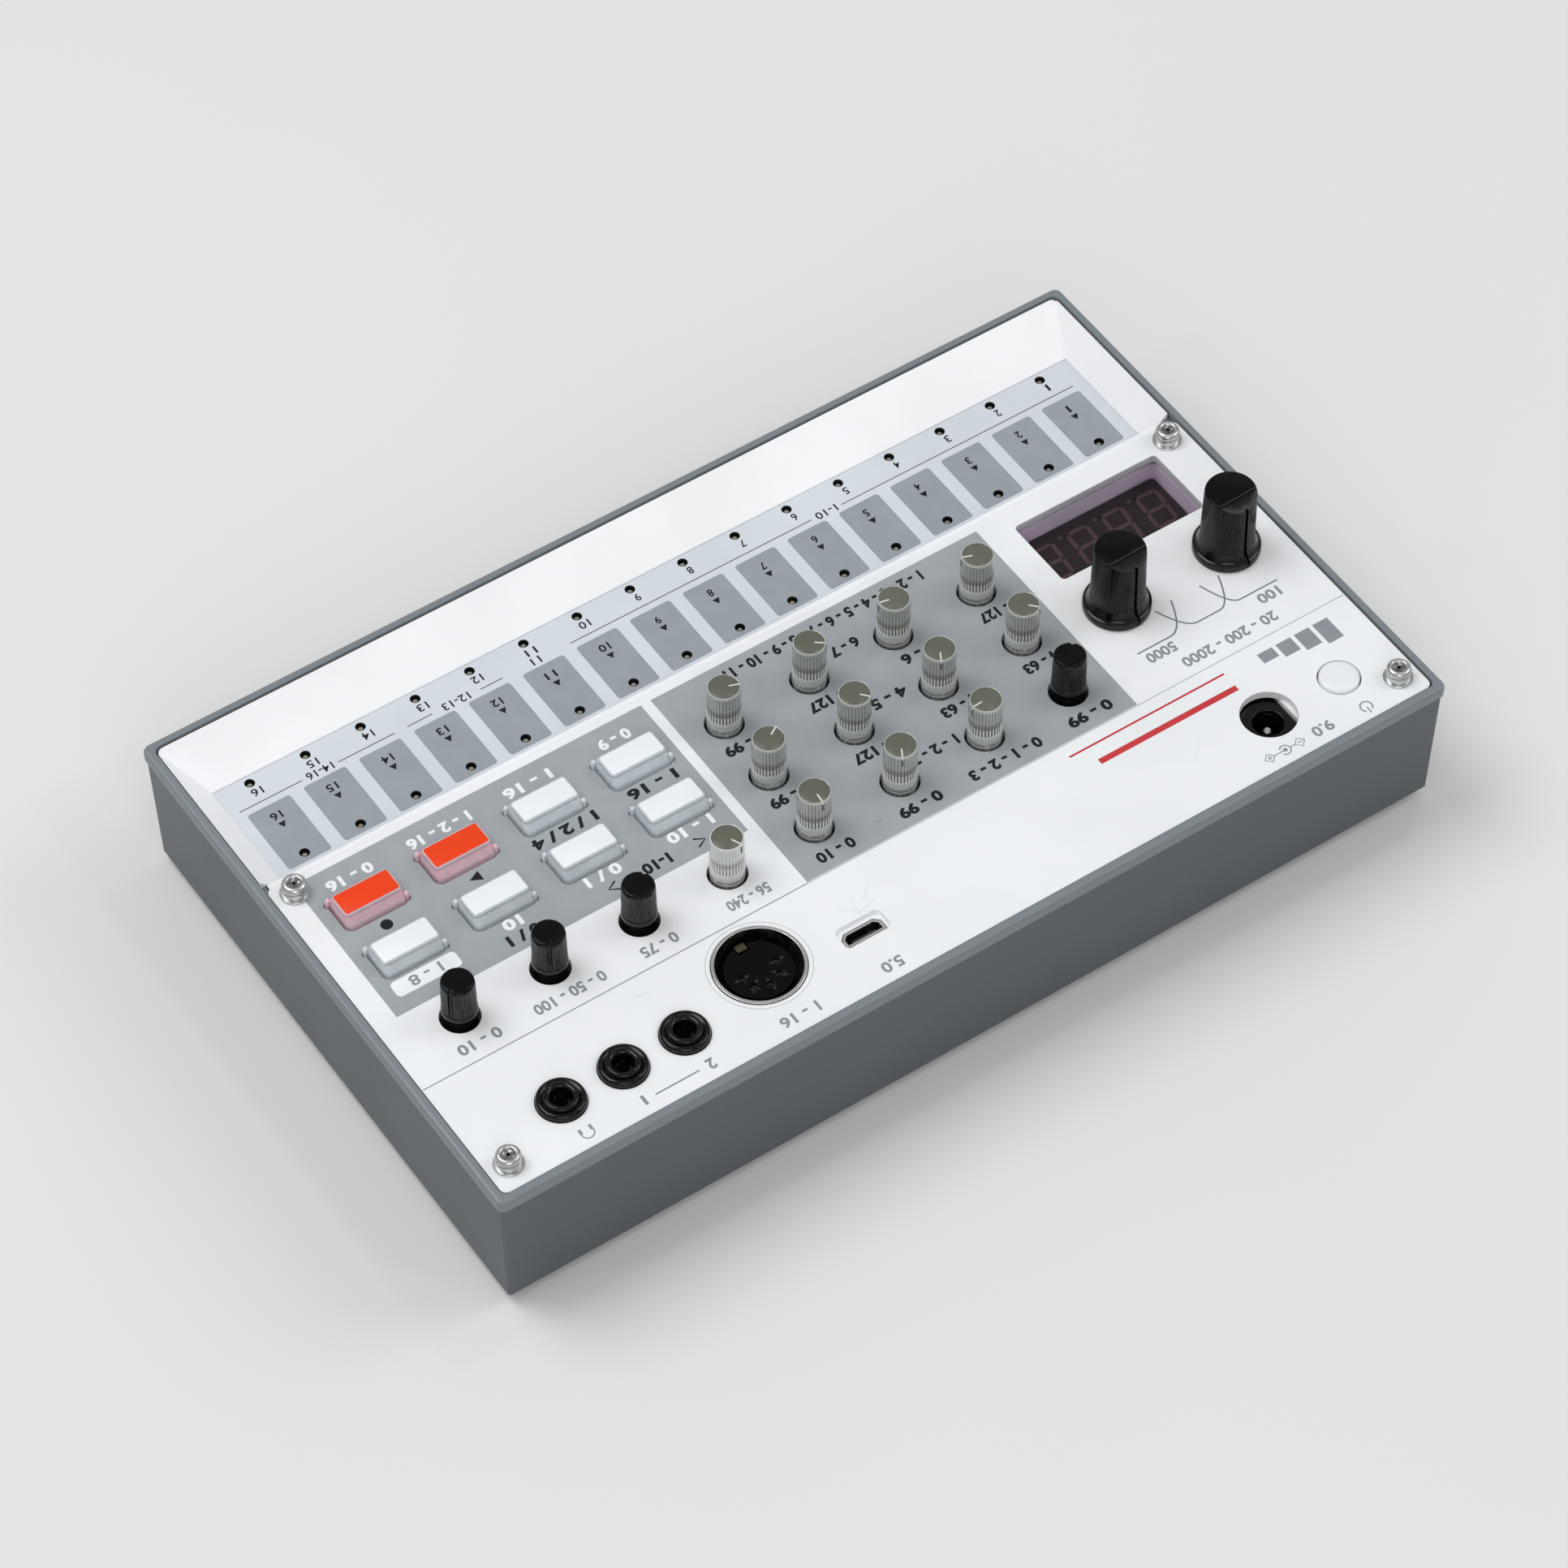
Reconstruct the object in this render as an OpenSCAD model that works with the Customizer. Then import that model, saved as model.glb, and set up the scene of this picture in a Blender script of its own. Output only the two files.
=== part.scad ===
// Table-top drum machine: a drafted plastic tub with a battery bay and a speaker, a sloped tray with
// a row of sixteen touch keys, and a flat control panel with knobs, buttons, a display and sockets.
// The origin is the middle of the footprint at the underside of the feet. +X is the player's right,
// +Y the rear edge with the sockets, +Z up. All sizes are in millimetres.

/* [Case] */
// Length of the case over its rim
case_l = 193; // [192:0.5:205]
// Depth of the case over its rim, front to rear
case_w = 115; // [114:0.5:125]
// Thickness of the side walls just below the rim
wall_t = 2.5; // [2:0.1:3]
// Thickness of the floor
floor_t = 2; // [1.8:0.1:3]
// Radius of the case's upright corners
corner_r = 1.5; // [1:0.1:4]
// Height of the proud rim band
rim_h = 2.3; // [1.8:0.1:4]
// Width of the rim's top face, from the outside to the panel opening
rim_w = 1.55; // [1.3:0.05:2.2]
// Step from the rim band in to the wall
rim_step = 0.4; // [0.2:0.05:0.8]
// How far each wall leans in from the rim band to the floor
wall_draft = 0.6; // [0.2:0.1:1]
// Rounding of the rim's outer top edge
rim_round = 0.7; // [0.3:0.1:1]
// Chamfer along the bottom edge
base_edge = 0.8; // [0.4:0.1:1.5]

/* [Feet] */
// Diameter of the rubber feet
foot_d = 9; // [7:0.5:12]
// Height of the feet below the case
foot_h = 1.5; // [1:0.1:3]
// Depth of the pockets that the feet are glued into
foot_pocket = 0.5; // [0.3:0.1:0.8]
// Distance from the case's ends to the middle of a foot
foot_inset_x = 13; // [10:0.5:20]
// Distance from the case's long sides to the middle of a foot
foot_inset_y = 12; // [10:0.5:18]

/* [Control panel] */
// Depth of the control panel, front to rear
panel_w = 74.6; // [74:0.1:76]
// Thickness of the control panel
panel_t = 1.6; // [1.2:0.1:2]
// How far the panel lies below the rim
panel_drop = 0.4; // [0.2:0.1:0.8]
// Gap between the panel and the rim
panel_gap = 0.35; // [0.2:0.05:0.5]
// Corner radius of the control panel
panel_r = 1.3; // [1:0.1:2.5]

/* [Key tray] */
// Depth of the key board's face below the rim
key_drop = 5; // [4.4:0.1:5.4]
// Length of the tray's window over the key board
keys_l = 179.8; // [178.5:0.1:181]
// Length of the sloped front of the tray, seen from above
front_ramp = 10.2; // [9:0.1:11]
// Width of the tray's step in front of the control panel
tray_step = 2; // [1.6:0.1:2.4]
// Wall thickness of the tray
tray_t = 1.6; // [1.2:0.1:2]
// Thickness of the tray's lip over the key board
tray_lip = 0.35; // [0.3:0.05:0.6]
// Number of touch keys
key_count = 16; // [8:1:16]
// Spacing of the touch keys
key_pitch = 11.09; // [10:0.01:11.2]
// Diameter of the light holes in the key board
light_d = 1.9; // [1:0.1:2]
// Distance from the window's front edge to the upper row of lights
light_row = 1.55; // [1.5:0.05:3]
// Distance from the window's rear edge to the lights in the keys
dot_row = 4.65; // [4:0.05:9]
// Distance of the lights to the right of the keys' middle lines
light_shift = 0.15; // [0:0.05:0.3]

/* [Small knobs] */
// Diameter of the top of a small knob
knob_top_d = 5.6; // [5:0.1:5.8]
// Diameter of the fluted band of a small knob
knob_band_d = 6; // [5.8:0.1:6.1]
// Diameter of the collar of a small knob
knob_collar_d = 6.2; // [6.2:0.1:7]
// Height of a small knob above the panel
knob_h = 9.8; // [9:0.1:14]
// Height of the collar above the panel
knob_collar_h = 3; // [1.5:0.1:3.5]
// Height of the smooth top above the fluted band
knob_cap_h = 2.7; // [1.5:0.1:3]
// Number of flutes round a small knob
knob_flutes = 24; // [16:1:32]
// Depth of the flutes of a small knob
flute_depth = 0.15; // [0.1:0.01:0.18]
// Gap round a small knob in its panel hole
knob_gap = 0.45; // [0.3:0.05:0.6]
// Spacing of the knob columns
grid_x = 17.63; // [16:0.01:17.7]
// Spacing of the knob rows
grid_y = 13.68; // [13:0.01:14]
// Left-hand knob column, from the middle of the case
grid_left = -41.95; // [-42.6:0.05:-41]
// Front knob row, from the panel's front edge
grid_front = 13; // [12:0.1:14]

/* [Large knobs] */
// Diameter of the top of a large knob
dial_top_d = 9.2; // [8:0.1:9.4]
// Diameter of a large knob just above its skirt
dial_body_d = 9.8; // [9.4:0.1:10.4]
// Diameter of the flange of a large knob
dial_flange_d = 12.2; // [11:0.1:13]
// Height of the upright edge of the flange
dial_flange_h = 1.4; // [1:0.1:2]
// Height of the skirt above the flange
dial_skirt_h = 1.8; // [1:0.1:2.5]
// Height of a large knob above the panel
dial_h = 15.1; // [13:0.1:18]
// Distance of the slanted facet on a large knob from the knob's middle
dial_facet = 1.9; // [0:0.1:3]
// Slope of the facet
dial_slope = 26; // [10:1:35]
// Number of flutes round a large knob
dial_flutes = 36; // [24:1:48]
// Diameter of the shafts under the large knobs
shaft_d = 6; // [5:0.1:6.2]
// Places of the two large knobs along the panel, from its left end
dial_x = [10.5, 34.3]; // [0:0.1:100]
// Distance of the large knobs from the panel's front edge
dial_y = 29.45; // [28:0.05:31]

/* [Buttons] */
// Length of a button's top
button_l = 11; // [10:0.1:11.5]
// Width of a button's top
button_w = 5.1; // [4.5:0.1:5.6]
// Height of the buttons above the panel
button_h = 2.6; // [2:0.1:5]
// How far a button's ends lean out towards its foot
button_flare = 0.35; // [0.2:0.05:0.8]
// How far a button's long sides lean out towards its foot
button_side = 1.3; // [0.5:0.1:1.5]
// Gap round a button in its panel hole
button_gap = 0.3; // [0.25:0.05:0.5]
// Travel of the buttons
button_travel = 0.8; // [0.4:0.1:1]
// Front button row, from the panel's front edge
button_front = 11.4; // [11:0.1:12]
// Spacing of the two button rows
button_pitch_y = 12.15; // [11:0.05:12.5]
// Distance of the button columns to the right of the knob columns
button_shift = 0.2; // [0:0.05:0.5]
// Diameter of the power button
power_d = 7.2; // [6.8:0.1:8.4]
// Height of the power button above the panel
power_h = 0.6; // [0.4:0.1:1.5]
// Travel of the power button
power_travel = 1.5; // [1:0.1:2]

/* [Display] */
// Length of the display window
window_l = 30.8; // [30:0.1:32]
// Width of the display window
window_w = 14.9; // [14:0.1:15.5]
// Distance of the window's middle from the panel's left end
window_x = 23.2; // [22.5:0.1:24]
// Distance of the window's middle from the panel's front edge
window_y = 12.05; // [11.5:0.05:12.5]
// Depth of the window below the panel's face
window_drop = 0.3; // [0.1:0.1:0.6]
// Thickness of the window's glued flange
window_flange = 0.8; // [0.6:0.1:1.2]
// Width of the flange round the window
window_margin = 0.7; // [0.5:0.1:0.8]
// Height of the display module on the main board
module_h = 2.7; // [2:0.1:4]

/* [Sockets] */
// Bore of the 3.5 mm jack sockets
jack_bore_d = 3.6; // [3.55:0.01:3.7]
// Diameter of the jack bushes
jack_bush_d = 8.6; // [8:0.1:9]
// Height of the jack bushes above the panel
jack_bush_h = 1.7; // [1:0.1:2.5]
// Depth of the jack bodies below the panel
jack_body_h = 15; // [14:0.1:15]
// Spacing of the jack sockets
jack_pitch = 12.05; // [11:0.05:12.5]
// Distance of the right-hand jack from the panel's right end
jack_x = 17.6; // [16:0.1:19]
// Distance of the jacks from the panel's rear edge
jack_y = 10.4; // [9:0.1:11]
// Outer diameter of the round five-pin socket's metal ring
din_d = 16.2; // [15.5:0.1:17]
// Wall of the metal ring
din_wall = 0.6; // [0.4:0.1:0.8]
// Diameter of the five-pin insert
din_core_d = 12; // [11:0.1:12.4]
// Distance of the five-pin socket from the panel's right end
din_x = 59.65; // [59:0.05:61]
// Distance of the five-pin socket from the panel's rear edge
din_y = 15.2; // [14:0.1:16]
// Distance of the small data socket from the panel's right end
data_x = 78.1; // [76:0.1:79]
// Distance of the small data socket in front of the jacks
data_y = 1.35; // [0:0.05:2]
// Depth of the recess round the small data socket
data_recess = 0.9; // [0.5:0.1:1.1]
// Diameter of the panel hole over the power inlet
inlet_d = 10.2; // [9.5:0.1:11]
// Bore of the power inlet
inlet_bore_d = 5; // [4.8:0.1:5.4]
// Diameter of the power inlet's centre pin
inlet_pin_d = 1.7; // [1.6:0.1:2.1]
// Distance of the power inlet from the panel's left end
inlet_x = 27.3; // [26:0.1:29]
// Distance of the power button from the panel's left end
power_x = 12.3; // [11.5:0.1:13]

/* [Screws] */
// Distance of the panel screws from the panel's ends
screw_inset_x = 3.9; // [3.6:0.1:4.2]
// Distance of the front panel screws from the panel's front edge
screw_front = 3.1; // [2.9:0.1:4]
// Distance of the rear panel screws from the panel's rear edge
screw_rear = 4.7; // [4:0.1:5.5]
// Thread diameter of the panel screws
screw_d = 2.7; // [2.4:0.1:3]
// Head diameter of the panel screws
screw_head_d = 4.4; // [4:0.1:5]
// Head height of the panel screws
screw_head_h = 2.7; // [2:0.1:3]
// Diameter of the washers
washer_d = 5.3; // [5:0.1:6]
// Thickness of the washers
washer_t = 0.4; // [0.3:0.1:0.8]
// Thread diameter of the board screws
board_screw_d = 2.2; // [2:0.1:2.6]

/* [Battery bay] */
// Diameter of a cell
cell_d = 14.2; // [13.5:0.1:14.5]
// Length of a cell over its button
cell_l = 50.5; // [49.5:0.1:50.5]
// Gap between rows of cells
cell_gap = 0.4; // [0.3:0.1:1]
// Thickness of the battery cover
cover_t = 1.8; // [1.4:0.1:2]
// Gap round the battery cover
cover_gap = 0.3; // [0.25:0.05:0.5]
// Width of the floor ledges that hold the battery cover
cover_ledge = 2.2; // [2:0.1:3]
// Thickness of the bay's walls
bay_wall = 1.2; // [1:0.1:1.6]
// Middle of the battery bay, from the middle of the case
bay_x = 12; // [8:0.5:13]

/* [Speaker] */
// Outer diameter of the speaker
speaker_d = 36; // [30:0.5:37]
// Distance of the speaker from the case's left end
speaker_x = 30.5; // [28:0.5:31]
// Number of sound slots in the floor
slot_count = 7; // [5:1:9]
// Width of a sound slot
slot_w = 2; // [1.5:0.1:2.5]

/* [Boards] */
// Thickness of the circuit boards
board_t = 1.6; // [1.2:0.1:2]
// Height of the potentiometers
pot_h = 6.3; // [5.5:0.1:8]
// Gap between the potentiometers and the panel
pot_gap = 0.7; // [0.5:0.1:1.5]
// Gap between the battery bay and the main board
board_gap = 0.4; // [0.3:0.1:6]
// Gap between the main board and the round five-pin socket
board_rear_gap = 1.3; // [0.5:0.1:2]
// Gap between the battery bay and the jack board
jack_board_gap = 4.3; // [1:0.1:6]

/* [Hidden] */
$fn = 48;

// small gap between pieces that are assembled loosely, and overlap that lets cuts run through
loose = 0.3;
eps = 0.5;
// running clearance of a shaft or a screw in its bore
run_gap = 0.05;

// battery bay, from the floor up
cell_z0 = foot_h + cover_t + cell_gap;
bay_ceiling = cell_z0 + cell_d + loose;
ceiling_t = 0.8;
board_z0 = bay_ceiling + ceiling_t + board_gap;
cell_pitch = cell_d + cell_gap;
cell_rows = 3;
plate_t = 0.5;
spring_l = 3.6;
cell_end_gap = 0.15;
bay_l = 2 * cell_l + cell_end_gap + spring_l + 3 * plate_t;
cover_hole_w = cell_rows * cell_pitch + 2 * cell_gap;
bay_w = cover_hole_w + 2 * cover_ledge;

// levels above the main board
board_z = board_z0 + board_t;
under_z = board_z + pot_h + pot_gap;
panel_z = under_z + panel_t;
rim_z = panel_z + panel_drop;
key_z = rim_z - key_drop;
jack_z = under_z - jack_body_h;
inner_z = foot_h + floor_t;

// plan sizes
cavity_l = case_l - 2 * (rim_step + wall_t);
cavity_w = case_w - 2 * (rim_step + wall_t);
opening_l = case_l - 2 * rim_w;
opening_w = case_w - 2 * rim_w;
panel_l = opening_l - 2 * panel_gap;
panel_left = -panel_l / 2;
panel_right = panel_l / 2;
panel_rear = opening_w / 2 - panel_gap;
panel_front = panel_rear - panel_w;
tray_front = -panel_rear;
window_front = tray_front + front_ramp;
window_rear = panel_front - tray_step;
tray_back = panel_front + 1.3;

// knob grid, button grid and sockets
function col_x(i) = grid_left + i * grid_x;
function row_y(j) = panel_front + grid_front + j * grid_y;
function button_at(i, j) =
    [col_x(4 + i) + button_shift, panel_front + button_front + j * button_pitch_y];
jack_row_y = panel_rear - jack_y;
function jack_at(i) = [panel_right - jack_x - i * jack_pitch, jack_row_y];
din_at = [panel_right - din_x, panel_rear - din_y];
data_at = [panel_right - data_x, jack_row_y - data_y];
inlet_at = [panel_left + inlet_x, jack_row_y - 0.2];
power_at = [panel_left + power_x, jack_row_y];
window_at = [panel_left + window_x, panel_front + window_y];
function dial_at(i) = [panel_left + dial_x[i], panel_front + dial_y];
speaker_at = [-case_l / 2 + speaker_x, 0];

// circuit boards, and the battery bay in front of the jack board
board_end_gap = 3;
board_lap = 5;
jack_lap = 1;
jack_rear_gap = 0.6;
main_l = cavity_l - 2 * board_end_gap;
main_front = panel_front - board_lap;
main_rear = din_at[1] - din_d / 2 - board_rear_gap;
jack_front = main_rear - jack_lap;
jack_rear = cavity_w / 2 - jack_rear_gap;
tongue_l = 17;
tongue_lap = 5;
bay_at = [bay_x, jack_front - jack_board_gap - bay_w / 2 - bay_wall];

// small knobs as column, row
small_places = [
    [0, 0], [1, 0], [2, 0], [3, 0], [0, 1], [1, 1], [2, 1], [3, 1],
    [0, 2], [1, 2], [2, 2], [3, 2], [4, 2], [5, 2], [6, 2], [7, 2]];

// screws
panel_screws_at = [for (x = [panel_left + screw_inset_x, panel_right - screw_inset_x])
    for (y = [panel_front + screw_front, panel_rear - screw_rear]) [x, y]];
main_screws_at = [
    [col_x(-0.5), row_y(2)], [col_x(6.5), row_y(2)],
    [col_x(-0.5), panel_front + 3.5], [col_x(6.5), panel_front + 3.5]];
post_reach = 22.3;
post_inset_end = 19.6;
post_inset_y = [4, 4.5];
left_post_x = inlet_at[0] + post_reach;
middle_post_x = din_at[0] - din_d / 2 - post_reach / 2 - board_rear_gap / 2 - jack_lap;
jack_screws_at = [
    for (x = [panel_left + post_inset_end, left_post_x, middle_post_x, col_x(6.5)])
        [x, jack_front + post_inset_y[0]],
    for (x = [left_post_x, middle_post_x]) [x, jack_rear - post_inset_y[1]]];
boss_r = screw_d / 2 + 1.65;
post_r = board_screw_d / 2 + 1.5;
screw_depth = 8;
board_screw_depth = 5;
board_head_r = board_screw_d / 2 + 1.2;
board_head_h = 1.5;

// knob and pot details
pot_w = 9.5;
pot_d = 11;
stub_d = 4;
stub_depth = 4.5;
knob_z0 = board_z + pot_h + loose;
pointer_w = 0.6;
pointer_depth = 0.4;
dial_z0 = panel_z + loose;
shaft_top = dial_h - 5;

// buttons
flange_t = 0.8;
nub_r = 0.5;
nub_h = 1.6;
nub_y = 2.95;
foot_r = 1.2;
button_foot_l = button_l + 2 * button_flare;
button_foot_w = button_w + 2 * button_side;
switch_side = 6;
switch_h = 3.4;
stem_r = 1.2;

module rounded(l, w, r) {
    square([l - 2 * r, w], center = true);
    square([l, w - 2 * r], center = true);
    for (x = [-1, 1])
        for (y = [-1, 1])
            translate([x * (l / 2 - r), y * (w / 2 - r)])
                circle(r);
}

module slab(l, w, r, z0, z1) {
    translate([0, 0, z0])
        linear_extrude(z1 - z0)
            rounded(l, w, r);
}

// thin layer of the case's outline, moved in by an inset, for the drafted hulls
module layer(z, inset, $fn = 32) {
    translate([0, 0, z])
        linear_extrude(0.01)
            rounded(case_l - 2 * inset, case_w - 2 * inset, max(corner_r - inset, 0.6));
}

module at(p, z = 0) {
    translate([p[0], p[1], z])
        children();
}

module bottom_case() {
    color("slategray")
        difference() {
            union() {
                case_skin();
                bay_block();
                for (p = panel_screws_at)
                    at(p, inner_z - eps)
                        cylinder(r = boss_r, h = under_z - inner_z + eps);
                for (p = main_screws_at)
                    at(p, inner_z - eps)
                        cylinder(r = post_r, h = board_z0 - inner_z + eps);
                for (p = jack_screws_at)
                    at(p, inner_z - eps)
                        cylinder(r = post_r, h = jack_z - board_t - inner_z + eps);
            }
            bay_hollow();
            for (p = panel_screws_at)
                at(p, under_z - screw_depth - 1)
                    cylinder(d = screw_d + 2 * run_gap, h = screw_depth + 2);
            for (p = main_screws_at)
                at(p, board_z0 - board_screw_depth - 1)
                    cylinder(d = board_screw_d + 2 * run_gap, h = board_screw_depth + 2);
            for (p = jack_screws_at)
                at(p, jack_z - board_t - board_screw_depth - 1)
                    cylinder(d = board_screw_d + 2 * run_gap, h = board_screw_depth + 2);
            feet_at()
                translate([0, 0, foot_h - eps])
                    cylinder(d = foot_d + 2 * run_gap, h = foot_pocket + eps);
            at(speaker_at)
                sound_slots();
        }
}

module case_skin() {
    difference() {
        union() {
            hull() {
                layer(foot_h, rim_step + wall_draft + base_edge);
                layer(foot_h + base_edge, rim_step + wall_draft);
                layer(rim_z - rim_h, rim_step);
            }
            hull() {
                layer(rim_z - rim_h, 0);
                layer(rim_z - rim_round, 0);
                layer(rim_z - rim_round / 3, rim_round / 3);
                layer(rim_z - 0.01, rim_round);
            }
        }
        slab(cavity_l, cavity_w, 1, inner_z, under_z + eps);
        slab(opening_l, opening_w, panel_r, under_z, rim_z + eps);
    }
}

module bay_block() {
    at(bay_at, foot_h + floor_t / 2)
        linear_extrude(bay_ceiling + ceiling_t - foot_h - floor_t / 2)
            square([bay_l + 2 * bay_wall, bay_w + 2 * bay_wall], center = true);
}

module bay_hollow() {
    at(bay_at, inner_z)
        linear_extrude(bay_ceiling - inner_z)
            square([bay_l, bay_w], center = true);
    at(bay_at, foot_h - eps)
        linear_extrude(floor_t + 2 * eps)
            square([bay_l, cover_hole_w], center = true);
}

module sound_slots() {
    reach = speaker_d / 2 - 5;
    for (i = [0 : slot_count - 1]) {
        y = (i - (slot_count - 1) / 2) * 2 * slot_w;
        half = sqrt(max(reach * reach - y * y, 4));
        translate([0, y, foot_h - eps])
            linear_extrude(floor_t + 2 * eps)
                rounded(2 * half, slot_w, slot_w / 2 - 0.01);
    }
}

module feet_at() {
    for (x = [-1, 1])
        for (y = [-1, 1])
            translate([x * (case_l / 2 - foot_inset_x), y * (case_w / 2 - foot_inset_y), 0])
                children();
}

module rubber_feet() {
    color("dimgray")
        feet_at() {
            translate([0, 0, 0.4])
                cylinder(d = foot_d, h = foot_h + foot_pocket - 0.4);
            cylinder(d1 = foot_d - 0.8, d2 = foot_d, h = 0.4);
        }
}

// the cover swings about the front lower edge of its opening
cover_l = bay_l - 2 * cover_gap;
cover_w = cover_hole_w - 2 * cover_gap;
tab_w = 9;
tab_t = 1.2;
tab_reach = cover_ledge - 0.6;
catch_w = 16;
catch_h = 2;

module battery_cover() {
    color("slategray")
        at(bay_at)
            difference() {
                union() {
                    translate([0, 0, foot_h])
                        linear_extrude(cover_t)
                            rounded(cover_l, cover_w, 1);
                    for (x = [-1, 0, 1])
                        translate([x * (cover_l / 2 - 1.5 * tab_w), 0, 0])
                            cover_tab();
                    translate([-catch_w / 2, cover_w / 2 - 1.9, foot_h + cover_t - eps])
                        cube([catch_w, 1, catch_h + eps]);
                }
                for (i = [0 : 4])
                    translate([-catch_w / 2, cover_w / 2 - 4 - 2 * i, foot_h - eps])
                        cube([catch_w, 0.9, eps + 0.4]);
            }
}

module cover_tab() {
    tab_z0 = inner_z + loose;
    translate([-tab_w / 2, -cover_w / 2, foot_h + cover_t - eps])
        cube([tab_w, 1.6, tab_z0 + tab_t - foot_h - cover_t + eps]);
    translate([-tab_w / 2, -cover_hole_w / 2 - tab_reach, tab_z0])
        cube([tab_w, tab_reach + cover_gap + 1, tab_t]);
}

// one row of two cells in line, its buttons towards +X
module cell_pair() {
    nub_l = 1.3;
    for (i = [0, 1])
        translate([-cell_l - cell_end_gap / 2 + i * (cell_l + cell_end_gap), 0, 0])
            rotate([0, 90, 0]) {
                cylinder(d = cell_d, h = cell_l - nub_l);
                cylinder(d = 5.5, h = cell_l);
            }
}

// rows one and three face right and the middle row faces left, as cells in series do
module rows_of_cells() {
    for (j = [0 : cell_rows - 1])
        at(bay_at)
            translate([0, (j - (cell_rows - 1) / 2) * cell_pitch, cell_z0 + cell_d / 2])
                rotate([0, 0, (j % 2) * 180])
                    children();
}

module batteries() {
    color("gold")
        rows_of_cells()
            translate([(spring_l - plate_t) / 2, 0, 0])
                cell_pair();
}

module battery_contacts() {
    plate_h = cell_d - 4;
    color("silver")
        rows_of_cells() {
            translate([-bay_l / 2, -plate_h / 2, -plate_h / 2])
                cube([plate_t, plate_h, plate_h]);
            translate([-bay_l / 2 + plate_t, 0, 0])
                rotate([0, 90, 0])
                    contact_spring();
            translate([bay_l / 2 - plate_t, -plate_h / 2, -plate_h / 2])
                cube([plate_t, plate_h, plate_h]);
            translate([bay_l / 2 - 2 * plate_t, 0, 0])
                rotate([0, 90, 0])
                    cylinder(d = 4, h = plate_t);
        }
}

// a closed conical spring: each turn is narrower than the one below it
module contact_spring() {
    turns = 3;
    wire = spring_l / turns;
    for (i = [0 : turns - 1])
        translate([0, 0, i * wire])
            rotate_extrude()
                translate([4 - i * 0.7 - wire / 2 - 1, 0])
                    square([wire + 1, wire - (i == turns - 1 ? 0.1 : 0)]);
}

// speaker facing down onto the slotted floor, heights counted from the floor
flange_in = speaker_d / 2 - 3.5;
back_r = speaker_d / 4;
basket_z = 7.5;

module speaker_frame() {
    color("silver")
        at(speaker_at, inner_z) {
            rotate_extrude()
                polygon([
                    [flange_in, 0], [speaker_d / 2, 0], [speaker_d / 2, 1.2],
                    [back_r, basket_z + 1], [3.5, basket_z + 1], [3.5, basket_z],
                    [back_r - 0.6, basket_z], [speaker_d / 2 - 1.5, 1.2], [flange_in, 1.2]]);
            translate([0, 0, basket_z + 1])
                cylinder(r = back_r - 0.5, h = 5);
        }
}

module speaker_cone() {
    color("dimgray")
        at(speaker_at, inner_z + 1.2)
            rotate_extrude()
                polygon([
                    [0, 4.4], [2.6, 4.4], [flange_in - 2, 0.4], [flange_in - 1.4, -0.3],
                    [flange_in - 0.6, 0], [flange_in + 1.3, 0], [flange_in + 1.3, 0.3],
                    [flange_in - 1, 0.5], [flange_in - 1.8, 0.9], [3, 5], [3, 6.1],
                    [2.6, 6.1], [2.6, 4.8], [0, 4.8]]);
}

module main_board() {
    color("darkgreen")
        translate([0, 0, board_z0])
            linear_extrude(board_t)
                difference() {
                    union() {
                        translate([-main_l / 2, main_front])
                            square([main_l, main_rear - main_front]);
                        translate([data_at[0] - tongue_l / 2, main_rear - eps])
                            square([tongue_l, data_at[1] + tongue_lap - main_rear + eps]);
                    }
                    boss_notches();
                    for (p = main_screws_at)
                        translate(p)
                            circle(d = board_screw_d + 0.6);
                }
}

module jack_board() {
    color("darkgreen")
        translate([0, 0, jack_z - board_t])
            linear_extrude(board_t)
                difference() {
                    translate([-main_l / 2, jack_front])
                        square([main_l, jack_rear - jack_front]);
                    boss_notches();
                    for (p = jack_screws_at)
                        translate(p)
                            circle(d = board_screw_d + 0.6);
                }
}

// room in the boards' corners for the case's screw bosses
module boss_notches() {
    for (p = panel_screws_at)
        translate(p)
            circle(r = boss_r + 0.6);
}

module board_screws() {
    color("silver") {
        for (p = main_screws_at)
            at(p, board_z)
                board_screw();
        for (p = jack_screws_at)
            at(p, jack_z)
                board_screw();
    }
}

module board_screw() {
    difference() {
        cylinder(r = board_head_r, h = board_head_h);
        translate([0, 0, board_head_h - 0.8])
            cross_recess(2.2, 0.6, 1);
    }
    translate([0, 0, -board_t - board_screw_depth])
        cylinder(d = board_screw_d, h = board_t + board_screw_depth + 0.1);
}

module cross_recess(l, w, h) {
    translate([-l / 2, -w / 2, 0])
        cube([l, w, h]);
    translate([-w / 2, -l / 2, 0])
        cube([w, l, h]);
}

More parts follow.
